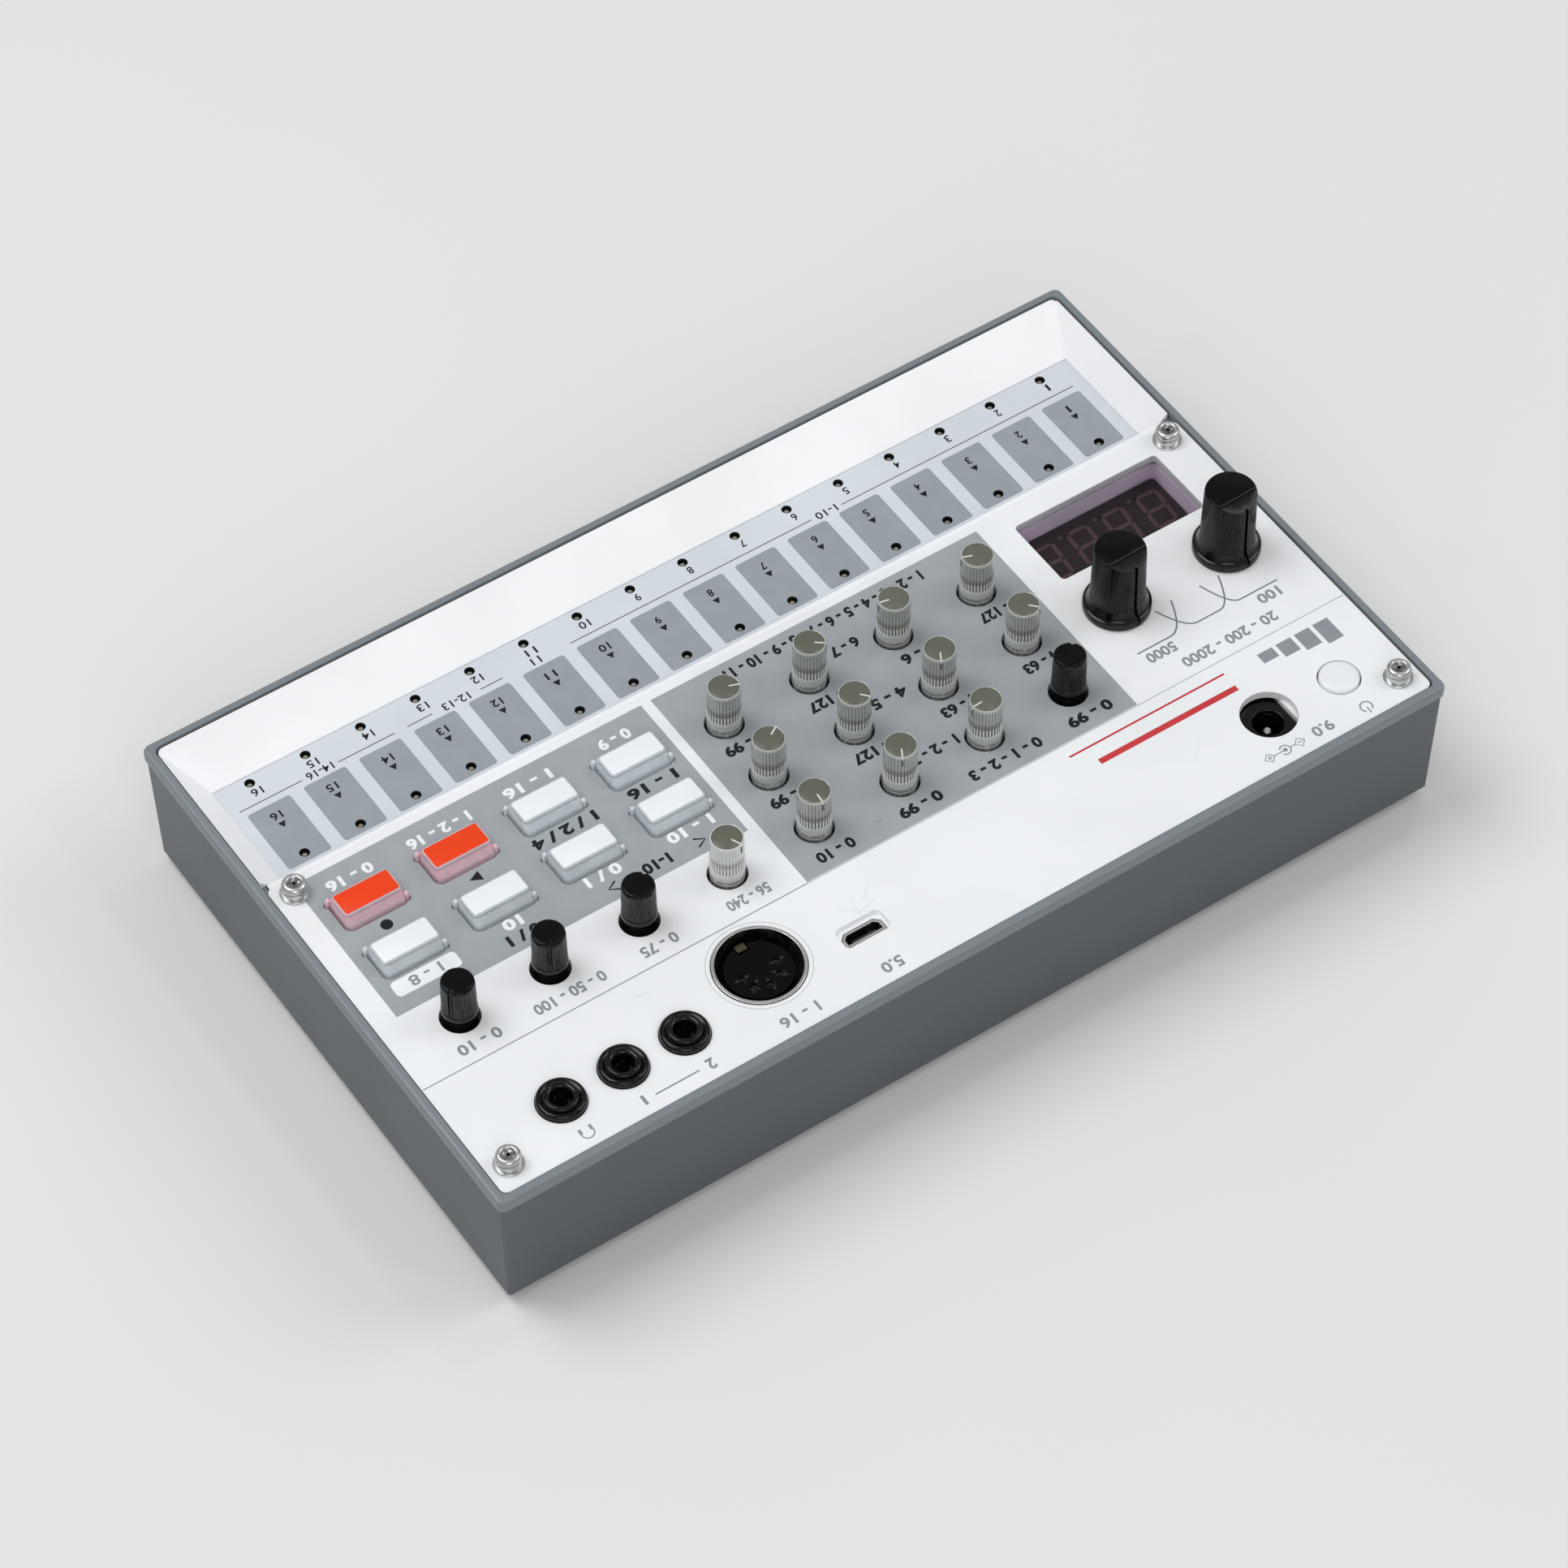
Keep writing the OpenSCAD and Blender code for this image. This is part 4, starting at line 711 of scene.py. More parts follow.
def shift(bm, vec, turn=0.0):
    """Turns a whole mesh clockwise by degrees seen from above, then moves it."""
    bmesh.ops.rotate(bm, verts=bm.verts[:], cent=(0, 0, 0), matrix=Matrix.Rotation(
        -math.radians(turn), 3, "Z"))
    bmesh.ops.translate(bm, verts=bm.verts[:], vec=vec)


# Printing -------------------------------------------------------------------------------------

def flat_mesh(data):
    """Makes a flat curve or a line of figures a mesh."""
    holder = bpy.data.objects.new("flat", data)
    bpy.context.scene.collection.objects.link(holder)
    bpy.context.view_layer.update()
    mesh = bpy.data.meshes.new_from_object(
        holder.evaluated_get(bpy.context.evaluated_depsgraph_get()))
    bpy.data.objects.remove(holder)
    return mesh


def circle(x, y, r, steps):
    """Points round a circle."""
    turns = [2 * math.pi * k / steps for k in range(steps)]
    return [(x + r * math.cos(a), y + r * math.sin(a)) for a in turns]


class Print:
    """One colour of ink on one face, gathered into one mesh. All places are in millimetres."""

    def __init__(self, face_z):
        self.bm = bmesh.new()
        self.z = face_z + settings().printing.lift

    def take(self, mesh, matrix):
        mesh.transform(matrix)
        self.bm.from_mesh(mesh)
        bpy.data.meshes.remove(mesh)

    def shape(self, *loops):
        """Filled outline; further loops inside it are holes."""
        data = bpy.data.curves.new("outline", "CURVE")
        data.dimensions = "2D"
        data.fill_mode = "BOTH"
        for loop in loops:
            line = data.splines.new("POLY")
            line.points.add(len(loop) - 1)
            for point, (x, y) in zip(line.points, loop):
                point.co = (x, y, 0, 1)
            line.use_cyclic_u = True
        self.take(
            flat_mesh(data), Matrix.Translation((0, 0, self.z)) @ Matrix.Diagonal((MM, MM, MM, 1)))

    def bar(self, x0, y0, x1, y1):
        self.shape([(x0, y0), (x1, y0), (x1, y1), (x0, y1)])

    def line(self, points, width=0.2):
        """Thin stroke through points."""
        data = bpy.data.curves.new("stroke", "CURVE")
        data.dimensions = "3D"
        data.bevel_depth = width / 2
        data.bevel_resolution = 0
        data.use_fill_caps = True
        line = data.splines.new("POLY")
        line.points.add(len(points) - 1)
        for point, (x, y) in zip(line.points, points):
            point.co = (x, y, 0, 1)
        self.take(flat_mesh(data), Matrix.Translation((0, 0, self.z)) @ Matrix.Diagonal(
            (MM, MM, 0.02 * MM, 1)))

    def arc(self, x, y, r, start, end, width=0.2, steps=24):
        """Arc between two angles in degrees, counted from +X."""
        self.line([
            (x + r * math.cos(math.radians(start + (end - start) * k / steps)),
             y + r * math.sin(math.radians(start + (end - start) * k / steps)))
            for k in range(steps + 1)], width)

    def disc(self, x, y, r, hole=0.0, steps=32):
        self.shape(*(circle(x, y, q, steps) for q in (r, hole) if q))

    def figures(self, text, x0, x1, y, height, weight=0.02):
        """Figures that fill the width from x0 to x1, with their middle at y."""
        data = bpy.data.curves.new("figures", "FONT")
        data.body = text
        data.size = 1
        data.offset = weight
        data.resolution_u = 3
        mesh = flat_mesh(data)
        xs = [v.co.x for v in mesh.vertices]
        tall = 0.73
        size = ((x1 - x0) * MM / (max(xs) - min(xs)), height * MM / tall, 1, 1)
        place = Matrix.Translation((x0 * MM, (y - height / 2) * MM, self.z))
        self.take(mesh, place @ Matrix.Diagonal(size) @ Matrix.Translation((-min(xs), 0, 0)))

    def rows(self, height, weight, *rows):
        """Several lines of figures of one height and weight: text, x0, x1 and y."""
        for text, x0, x1, y in rows:
            self.figures(text, x0, x1, y, height, weight)

    def finish(self, name, look, slot="panel_white"):
        return piece(name, self.bm, look, flat=True)


def rounded_loop(x0, y0, x1, y1, r, steps=5):
    """Outline of a rounded rectangle."""
    loop = []
    for cx, cy, start in ((x1 - r, y1 - r, 0), (x0 + r, y1 - r, 90), (x0 + r, y0 + r, 180),
                          (x1 - r, y0 + r, 270)):
        for k in range(steps + 1):
            a = math.radians(start + 90 * k / steps)
            loop.append((cx + r * math.cos(a), cy + r * math.sin(a)))
    return loop


def top_face_cut(bm_source, z, x0, y0, x1, y1, lift):
    """The part of a flat top face inside a rectangle, holes and all, as a new mesh."""
    bm = bm_source.copy()
    away = [f for f in bm.faces if f.normal.z < 0.999 or abs(f.calc_center_median().z - z) > 2e-6]
    bmesh.ops.delete(bm, geom=away, context="FACES")
    for place, way in (((x0 * MM, 0, 0), (-1, 0, 0)), ((x1 * MM, 0, 0), (1, 0, 0)),
                       ((0, y0 * MM, 0), (0, -1, 0)), ((0, y1 * MM, 0), (0, 1, 0))):
        bmesh.ops.bisect_plane(
            bm, geom=bm.verts[:] + bm.edges[:] + bm.faces[:], dist=1e-7, plane_co=place,
            plane_no=way, clear_outer=True)
    bmesh.ops.translate(bm, verts=bm.verts[:], vec=(0, 0, lift))
    return bm


# Operators ------------------------------------------------------------------------------------

class DRUM_OT_case(bpy.types.Operator):
    """Case, battery cover and feet"""
    bl_idname = "drum.case"
    bl_label = "Case"

    def execute(self, context):
        edge = settings().case.edge
        softened("bottom_case", edge, "case")
        softened("battery_cover", edge, "case", "battery_cover")
        softened("rubber_feet", edge, "rubber")
        return {"FINISHED"}


class DRUM_OT_inside(bpy.types.Operator):
    """Finishes of the boards, pots, speaker, cells and the other parts inside"""
    bl_idname = "drum.inside"
    bl_label = "Inside"

    def execute(self, context):
        repaint("board", "main_board", "jack_board")
        repaint("component", "small_pots", "large_pots", "tact_switches", "power_switch")
        repaint("steel", "speaker_frame", "board_screws", "treble_shaft", "bass_shaft")
        repaint("tin", "battery_contacts")
        repaint("cone", "speaker_cone")
        repaint("cells", "batteries")
        repaint("ribbon", "ribbon_cable")
        repaint("light", "step_lights")
        return {"FINISHED"}


class DRUM_OT_tray(bpy.types.Operator):
    """Key tray, touch-key board and its lights"""
    bl_idname = "drum.tray"
    bl_label = "Key tray"

    def execute(self, context):
        softened("key_tray", settings().case.edge, "tray", smooth=24)
        repaint("key_face", "key_board")
        lenses, sleeves = bmesh.new(), bmesh.new()
        for i in range(KEYS):
            for y in (UPPER_LIGHTS_Y, KEY_LIGHTS_Y):
                place = ((key_x(i) + LIGHT_SHIFT) * MM, y * MM, 0)
                lathe(lenses, [
                    (0, 24.5), (0.35, 24.45), (0.58, 24.2), (0.6, 23.45), (0, 23.45)], 12, place)
                lathe(sleeves, [
                    (0.88, 23.45), (0.94, 23.45), (0.94, 24.97), (0.88, 24.97), (0.88, 23.45)],
                    20, place)
        piece("light_lenses", lenses, "lens")
        piece("light_sleeves", sleeves, "sleeve")
        return {"FINISHED"}


class DRUM_OT_panel(bpy.types.Operator):
    """Control panel with its two grey fields"""
    bl_idname = "drum.panel"
    bl_label = "Control panel"

    def execute(self, context):
        bm = solid_copy("control_panel")
        break_edges(bm, settings().case.cut_edge, 1)
        lift = settings().printing.lift * 0.5
        left = top_face_cut(bm, PANEL_Z, -50, -17.4, 18.6, 30.5, lift)
        right = top_face_cut(bm, PANEL_Z, 20.6, -17.4, 90.2, 15.7, lift)
        if not left.faces or not right.faces:
            raise RuntimeError("the panel's top face wasn't found")
        piece("knob_field", left, "field", flat=True)
        piece("button_field", right, "field", flat=True)
        piece("control_panel_shape", bm, "panel", replaces=("control_panel",),
              even=True)
        return {"FINISHED"}


class DRUM_OT_display(bpy.types.Operator):
    """Tinted window, four seven-segment figures and the white walls round them"""
    bl_idname = "drum.display"
    bl_label = "Display"

    def execute(self, context):
        repaint("window", "display_window")
        repaint("display", "display_module")
        repaint("bezel", "display_bezel")
        segments = Print(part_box("display_module")[1].z)
        for i in range(4):
            self.figure(segments, -85.2 + FIGURE_PITCH * i, -12.1)
            segments.disc(-79.6 + FIGURE_PITCH * i, -11.9, 0.42, steps=16)
        segments.finish("display_figures", "segment", "display_face")
        return {"FINISHED"}

    def figure(self, ink_sheet, x, y):
        """Seven bars of one figure, leaning to the right."""
        wide, high, bar, gap, lean = 4.1, 8.6, 0.8, 0.12, 0.092
        half = (high - bar) / 2
        for x0, y0, x1, y1 in (
                (0, 0, wide, 0), (0, half, wide, half), (0, 2 * half, wide, 2 * half),
                (0, 0, 0, half), (0, half, 0, 2 * half), (wide, 0, wide, half),
                (wide, half, wide, 2 * half)):
            level = y0 == y1
            ax, ay = (gap, 0) if level else (0, gap)
            bx, by = (bar / 2, 0) if level else (0, bar / 2)
            sx, sy = (0, bar / 2) if level else (bar / 2, 0)
            loop = [
                (x0 + ax, y0 + ay), (x0 + ax + bx - sx, y0 + ay + by - sy),
                (x1 - ax - bx - sx, y1 - ay - by - sy), (x1 - ax, y1 - ay),
                (x1 - ax - bx + sx, y1 - ay - by + sy), (x0 + ax + bx + sx, y0 + ay + by + sy)]
            ink_sheet.shape([
                (x + px + (py + bar / 2) * lean, y + bar / 2 + py) for px, py in loop])


class DRUM_OT_small_knobs(bpy.types.Operator):
    """Sixteen small knobs: twelve clear and four black"""
    bl_idname = "drum.small_knobs"
    bl_label = "Small knobs"

    def execute(self, context):
        for name, turn in CLEAR_KNOBS.items():
            self.clear_knob(name, turn)
        for name, turn in BLACK_KNOBS.items():
            self.black_knob(name, turn)
        return {"FINISHED"}

    def radii(self):
        """Radius of the top, the ribbed band and the ring, in millimetres."""
        use = settings().knobs
        return (d / 2 / MM for d in (use.top_d, use.band_d, use.ring_d))

    def levels(self):
        """Heights of the ring's two edges and of the change of ribs, in millimetres."""
        use = settings().knobs
        return (FACE + z / MM for z in (use.ring_z0, use.ring_z1, use.band_z))

    def clear_knob(self, name, turn):
        """Ribbed clear knob: an olive cap in its top paints the shade seen into it, a shaft in its thin
        skirt, a pale bead of painted highlight at its foot, and a pointer of painted highlight over a
        dark strip of painted shade.
        """
        use = settings().knobs
        low, high = heights(name)
        top, band, ring = self.radii()
        top += 0.1
        z0, z1, mid = self.levels()
        grip = grooved_mesh()
        verts = lathe(grip, [
            (1.9, z0 + 0.1), (ring - 0.12, z0), (ring, z0 + 0.12), (ring, z1 - 0.15), (ring - 0.1, z1),
            (band, z1 + 0.02), (band - 0.02, mid - 1.7), (band - 0.03, mid - 0.6), (band - 0.05, mid),
            (top + 0.04, high - 0.62), (top + 0.02, high - 0.5), (top - 0.02, high - 0.24),
            (top - 0.07, high - 0.08), (top - 0.15, high), (top - 0.24, high - 0.03),
            (top - 0.28, high - 0.3), (0, high - 0.3), (0, z0 + 0.1), (1.9, z0 + 0.1)], 4 * use.ribs)
        ribbed(grip, verts, z1 + 0.01, mid - 1.5, use.ribs, use.rib_depth / MM)
        ribbed(grip, verts, mid - 0.7, high - 0.6, use.ribs, 0.06)
        skirt, cap, post, bead, mark, drop = (bmesh.new() for _ in range(6))
        lathe(skirt, [
            (2.2, UNDER - 0.3), (ring - 0.06, UNDER - 0.3), (ring - 0.06, z0 + 0.05), (2.2, z0 + 0.05),
            (2.2, UNDER - 0.3)], 64)
        lathe(cap, [
            (0, high - 0.28), (top - 0.3, high - 0.28), (top - 0.3, high - 0.1),
            (top - 0.38, high - 0.06), (0, high - 0.06)], 48)
        # Bead at the skirt's foot, pale as a painted highlight
        lathe(bead, [
            (ring - 0.2, FACE + 0.05), (ring - 0.04, FACE + 0.08), (ring, FACE + 0.2),
            (ring - 0.01, FACE + 0.36), (ring - 0.05, FACE + 0.5), (ring - 0.2, FACE + 0.6),
            (ring - 0.2, FACE + 0.05)], 64)
        lathe(post, [
            (0, low), (1.95, low), (1.95, UNDER - 0.6), (1.35, UNDER - 0.4), (1.35, z0 + 0.08),
            (0, z0 + 0.08)], 32)
        # Painted highlight: white strips where the pointer groove runs over the top and down the side;
        # painted shade: the dark strip below them
        block(mark, (0.26, top - 1.1, 0.05), (0, (top + 0.7) / 2, high - 0.05))
        block(mark, (0.26, 0.06, 0.5), (0, top, high - 0.4))
        block(drop, (0.3, 0.05, 1.5), (0, top + 0.06, high - 1.5))
        for kind, bm, look, slot in (
                ("_skin", grip, "clear", "knob_clear"), ("_skirt", skirt, "skirt", "knob_clear"),
                ("_bead", bead, "bead", "knob_clear"), ("_cap", cap, "cap", "knob_clear"),
                ("_post", post, "post", "steel"), ("_pointer", mark, "pointer_painted_highlight", "button_white"),
                ("_slot", drop, "pointer_slot_shade", "knob_clear")):
            shift(bm, middle(name), turn)
            piece(name + kind, bm, look, name, (name,) if kind == "_skin" else (), smooth=40)

    def black_knob(self, name, turn):
        """Black knob, ribbed almost to its rounded top, over a smooth ring."""
        use = settings().knobs
        low, high = heights(name)
        top, band, ring = self.radii()
        z0, z1, _ = self.levels()
        bm = grooved_mesh()
        verts = lathe(bm, [
            (0, low), (1.95, low), (1.95, UNDER), (ring - 0.2, UNDER), (ring - 0.15, UNDER + 0.2),
            (ring - 0.12, z0 - 0.15), (ring - 0.02, z0), (ring, z0 + 0.1), (ring - 0.02, z1 - 0.2),
            (ring - 0.14, z1), (band, z1 + 0.05), (band - 0.04, high - 2.7), (top + 0.12, high - 0.7),
            (top + 0.1, high - 0.6), (top + 0.05, high - 0.36), (top - 0.05, high - 0.16),
            (top - 0.22, high - 0.05), (top - 0.5, high - 0.01), (top - 1.0, high), (0, high)],
            4 * use.ribs)
        ribbed(bm, verts, z1 + 0.02, high - 0.65, use.ribs, use.rib_depth / MM)
        self.slot(verts, top, high)
        shift(bm, middle(name), turn)
        piece(name + "_black", bm, "knob_black", name, (name,), smooth=35)

    def slot(self, verts, top, high):
        """Sinks a short upright slot into the side under the top, towards the pointer."""
        for v in verts:
            if abs(v.co.x) < 0.3 * MM and v.co.y > top * 0.8 * MM and v.co.z > (high - 2.8) * MM:
                v.co.y -= 0.28 * MM


class DRUM_OT_large_knobs(bpy.types.Operator):
    """The two large black knobs"""
    bl_idname = "drum.large_knobs"
    bl_label = "Large knobs"

    def execute(self, context):
        for name, turn in LARGE_KNOBS.items():
            self.knob(name, turn)
        return {"FINISHED"}

    def knob(self, name, turn):
        """Ribbed knob over a flange, with its top cut off aslant and a slot down its side."""
        ribs = settings().knobs.large_ribs
        base, high = heights(name)
        body_r, top_r, flange_r = 4.9, 4.6, 6.1
        skirt, top = base + 3.2, high - 0.01
        bm = grooved_mesh()
        verts = lathe(bm, [
            (3.1, base), (flange_r, base), (flange_r, base + 1.15), (flange_r - 0.1, base + 1.35),
            (flange_r - 0.35, base + 1.42), (flange_r - 0.55, base + 1.6),
            (flange_r - 0.85, base + 2.15), (flange_r - 1.05, base + 2.8), (body_r + 0.02, skirt - 0.1),
            (body_r, skirt), (body_r, skirt + 0.12), (top_r + 0.02, top - 0.42),
            (top_r - 0.03, top - 0.24), (top_r - 0.12, top - 0.09), (top_r - 0.28, top), (0, top)],
            4 * ribs)
        ribbed(bm, verts, skirt + 0.05, top - 0.35, ribs, 0.16)
        slope, chord = math.radians(26), 1.9
        bmesh.ops.bisect_plane(
            bm, geom=bm.verts[:] + bm.edges[:] + bm.faces[:], dist=1e-7, clear_outer=True,
            plane_co=(0, chord * MM, top * MM), plane_no=(0, math.sin(slope), math.cos(slope)))
        open_edges = [e for e in bm.edges if e.is_boundary and e.calc_length() > 0
                      and min(v.co.z for v in e.verts) > (base + 5) * MM]
        bmesh.ops.holes_fill(bm, edges=open_edges, sides=0)
        for edge in open_edges:
            if (edge.is_valid and edge.is_manifold
                    and max(v.co.z for v in edge.verts) < (top - 0.02) * MM):
                edge.smooth = False
        groove = bm.verts.layers.float["groove"]
        # The slot is marked as groove, so the black finish paints shade in it
        for v in bm.verts:
            far = v.co.y > 3.6 * MM and abs(v.co.x) < 0.32 * MM
            if far and v.co.z > skirt * MM:
                v.co.y -= 0.5 * MM
                v[groove] = 1
            elif far and v.co.z > (base + 1) * MM and v.co.y > 4 * MM:
                v.co.y -= 0.6 * MM
                v[groove] = 1
        line = bmesh.new()
        half = math.sqrt((top_r - 0.28) ** 2 - chord ** 2)
        # Painted highlight: a thin grey bar along the chord edge of the black top
        block(line, (2 * half, 0.11, 0.03), (0, chord, top - 0.006))
        for kind, mesh, look in (("_body", bm, "knob_gloss"), ("_chord", line, "chord")):
            shift(mesh, middle(name), turn)
            piece(name + kind, mesh, look, name, (name,) if kind == "_body" else (),
                  smooth=30)


class DRUM_OT_buttons(bpy.types.Operator):
    """Eight oblong buttons with their coloured insets"""
    bl_idname = "drum.buttons"
    bl_label = "Buttons"

    def execute(self, context):
        for name in WHITE_BUTTONS:
            self.button(name, "button_side", "button_white", "button_white")
        for name in RED_BUTTONS:
            self.button(name, "button_red_side", "button_red", "button_red")
        return {"FINISHED"}

    def button(self, name, side_look, inset_look, slot):
        """Tapered milky body on a stem, with a small foot at each end and a coloured inset."""
        use = settings().buttons
        low, high = heights(name)
        place = middle(name)
        top = (high - 0.03) * MM
        rise = top - PANEL_Z
        bm = bmesh.new()
        face = rounded_plate(bm, use.top_l, use.top_w, 0.8 * MM, top)
        bmesh.ops.reverse_faces(bm, faces=[face])
        lower = push_out(bm, face, [
            (0.04 * MM, 0.16 * MM, -0.4 * MM),
            (use.end_flare - 0.08 * MM, use.side_flare - 0.26 * MM, 0.75 * MM - rise),
            (0.03 * MM, 0.08 * MM, -0.3 * MM), (0, 0, (UNDER - FACE - 0.35) * MM)])
        push_out(bm, lower, [(1.2 * MM, 0.8 * MM, 0), (0, 0, -0.8 * MM)])
        crown = bmesh.ops.contextual_create(bm, geom=[
            e for e in bm.edges if e.is_boundary])["faces"]
        break_edges(bm, 0.26 * MM, 4, 25, [e for f in crown for e in f.edges])
        for side in (-1, 1):
            lathe(bm, [
                (0, -1.8), (0.5, -1.8), (0.5, 1.15), (0.44, 1.35), (0.3, 1.5), (0, 1.57)], 16,
                (side * (use.top_l / 2 + use.end_flare), -side * 2.95 * MM, PANEL_Z))
        lathe(bm, [(0, low), (1.2, low), (1.2, UNDER - 1), (0, UNDER - 1)], 24)
        shift(bm, place)
        piece(name + "_body", bm, side_look, name, (name,), smooth=40)
        inset = bmesh.new()
        face = rounded_plate(
            inset, use.top_l - 2 * use.border, use.top_w - 2 * use.border, 0.42 * MM,
            top - 0.1 * MM)
        push_out(inset, face, [(0, 0, 0.13 * MM)])
        break_edges(inset, 0.05 * MM, 2, 40)
        shift(inset, place)
        piece(name + "_inset", inset, inset_look, name)


class DRUM_OT_power_button(bpy.types.Operator):
    """Round power button with a slightly domed top"""
    bl_idname = "drum.power_button"
    bl_label = "Power button"

    def execute(self, context):
        low, z = heights("power_button")
        r = 3.6
        bm = bmesh.new()
        lathe(bm, [
            (0, low), (1.2, low), (1.2, UNDER - 1.1), (r + 0.8, UNDER - 1.1), (r + 0.8, UNDER - 0.3),
            (r, UNDER - 0.3), (r, z - 0.62), (r - 0.1, z - 0.42), (r - 0.32, z - 0.26),
            (r - 0.8, z - 0.14), (r - 1.5, z - 0.06), (r - 2.4, z - 0.015), (0, z)], 72)
        shift(bm, middle("power_button"))
        piece("power_button_cap", bm, "power_white", "power_button",
              ("power_button",), smooth=40)
        return {"FINISHED"}


class DRUM_OT_sockets(bpy.types.Operator):
    """Jacks, round five-pin socket, data socket and power inlet"""
    bl_idname = "drum.sockets"
    bl_label = "Sockets"

    def execute(self, context):
        for name in JACKS:
            self.jack(name)
        softened("din_shell", 0.1 * MM, "ring", segments=3)
        softened("din_insert", 0.12 * MM, "insert")
        softened("data_socket", 0.06 * MM, "ring")
        softened("inlet_socket", 0.15 * MM, "socket")
        self.contacts()
        return {"FINISHED"}

    def contacts(self):
        """Pin of the inlet, five sleeves with their slits drawn as dark kites of painted shade, and the
        dark tongue of the data socket.
        """
        pins = bmesh.new()
        lathe(pins, [
            (0, 17.4), (0.85, 17.4), (0.85, 25), (0.77, 25.3), (0.5, 25.55), (0, 25.6)], 24,
            (INLET[0] * MM, INLET[1] * MM, 0))
        slits = Print(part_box("din_insert")[1].z)
        for k in range(5):
            a = math.radians(45 * k)
            way, across = Vector((math.cos(a), math.sin(a))), Vector((-math.sin(a), math.cos(a)))
            centre = Vector(ROUND_SOCKET) + 3.5 * way
            lathe(pins, [
                (0, 20), (0.85, 20), (0.85, 27.3), (0.8, 27.55), (0.62, 27.58), (0.55, 27.3),
                (0.55, 21), (0, 21)], 20, (centre.x * MM, centre.y * MM, 0))
            # Painted shade: dark kites on the insert's top stand for the keyhole slits of the five
            # contacts
            for r, inward in ((2.65, 1), (4.35, -1)):
                point = Vector(ROUND_SOCKET) + (r - inward * 0.75) * way
                foot = Vector(ROUND_SOCKET) + (r + inward * 0.1) * way
                slits.shape([tuple(point), tuple(foot + 0.34 * across), tuple(foot - 0.34 * across)])
        slits.finish("insert_slits", "sleeve", "socket_black")
        piece("socket_contacts", pins, "tin", replaces=("socket_pins",))
        tongue, spring = bmesh.new(), bmesh.new()
        block(tongue, (4.8, 0.5, 3.9), (16.5, 44.25, 26.1))
        block(tongue, (6.7, 1.7, 0.3), (16.5, 43.85, 24.2))
        block(spring, (1.9, 0.3, 7.5), (35.0, 34.3, 24.6))
        block(spring, (1.9, 1.3, 0.3), (35.0, 34.9, 28.2))
        piece("data_tongue", tongue, "sleeve")
        piece("ground_spring", spring, "clip")

    def jack(self, name):
        """Jack socket: square body under the panel, threaded bush and domed ring above it."""
        low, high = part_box(name)
        foot, z = heights(name)
        wide, deep = (high.x - low.x) / MM, (high.y - low.y) / MM
        bm = bmesh.new()
        block(bm, (wide, deep, UNDER - foot), (0, 0, (UNDER + foot) / 2))
        top = [f for f in bm.faces if f.normal.z > 0.9 and f.calc_center_median().z > low.z]
        bmesh.ops.delete(bm, geom=top, context="FACES_ONLY")
        break_edges(bm, 0.15 * MM, 2)
        lathe(bm, [
            (4.3, UNDER - 0.2), (4.3, z - 1.15), (4.2, z - 0.85), (3.98, z - 0.62), (3.7, z - 0.52),
            (3.45, z - 0.56), (3.25, z - 0.7), (3.12, z - 0.75), (3.05, z - 0.6), (3.0, z - 0.3),
            (2.85, z - 0.08), (2.6, z), (2.3, z - 0.04), (2.0, z - 0.22), (1.84, z - 0.5),
            (1.8, z - 0.9), (1.8, z - 14), (0, z - 14)], 72)
        lid = bmesh.ops.create_grid(bm, x_segments=1, y_segments=1, size=0.5)["verts"]
        bmesh.ops.scale(bm, verts=lid, vec=((wide - 0.2) * MM, (deep - 0.2) * MM, 1))
        bmesh.ops.translate(bm, verts=lid, vec=(0, 0, (UNDER - 0.05) * MM))
        shift(bm, middle(name))
        piece(name + "_body", bm, "socket", replaces=(name,), smooth=40)


class DRUM_OT_screws(bpy.types.Operator):
    """Four panel screws with washers"""
    bl_idname = "drum.screws"
    bl_label = "Panel screws"

    def execute(self, context):
        low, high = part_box("panel_screws")
        reach = 2.65 * MM
        bm, dark = bmesh.new(), bmesh.new()
        for x in (low.x + reach, high.x - reach):
            for y in (low.y + reach, high.y - reach):
                lathe(bm, [
                    (1.5, 0.02), (2.55, 0.02), (2.63, 0.1), (2.63, 0.28), (2.53, 0.38), (2.12, 0.4),
                    (2.14, 0.5), (2.14, 1.5), (2.06, 1.62), (1.92, 1.66), (1.92, 1.82), (2.06, 1.88),
                    (2.17, 2.02), (2.19, 2.3), (2.1, 2.62), (1.88, 2.88), (1.6, 3.02), (1.36, 3.0),
                    (1.2, 2.86), (1.0, 2.5), (0, 2.3)], 64, (x, y, PANEL_Z))
                lathe(bm, [(0, -9.6), (0.9, -9.6), (1.33, -9.1), (1.33, 0.3), (0, 0.3)], 24,
                      (x, y, PANEL_Z))
                # Painted shade: a dark cross in each head stands for the shadowed cross recess
                for size in ((2.5, 0.55, 0.5), (0.55, 2.5, 0.5)):
                    made = block(dark, size, (0, 0, 0))
                    bmesh.ops.rotate(dark, verts=made, matrix=Matrix.Rotation(x * 9 + y * 14, 3, "Z"))
                    bmesh.ops.translate(dark, verts=made, vec=(x, y, PANEL_Z + 2.42 * MM))
        piece("panel_screws_shape", bm, "nickel", replaces=("panel_screws",), smooth=40)
        piece("screw_crosses", dark, "screw_recess_shade")
        return {"FINISHED"}


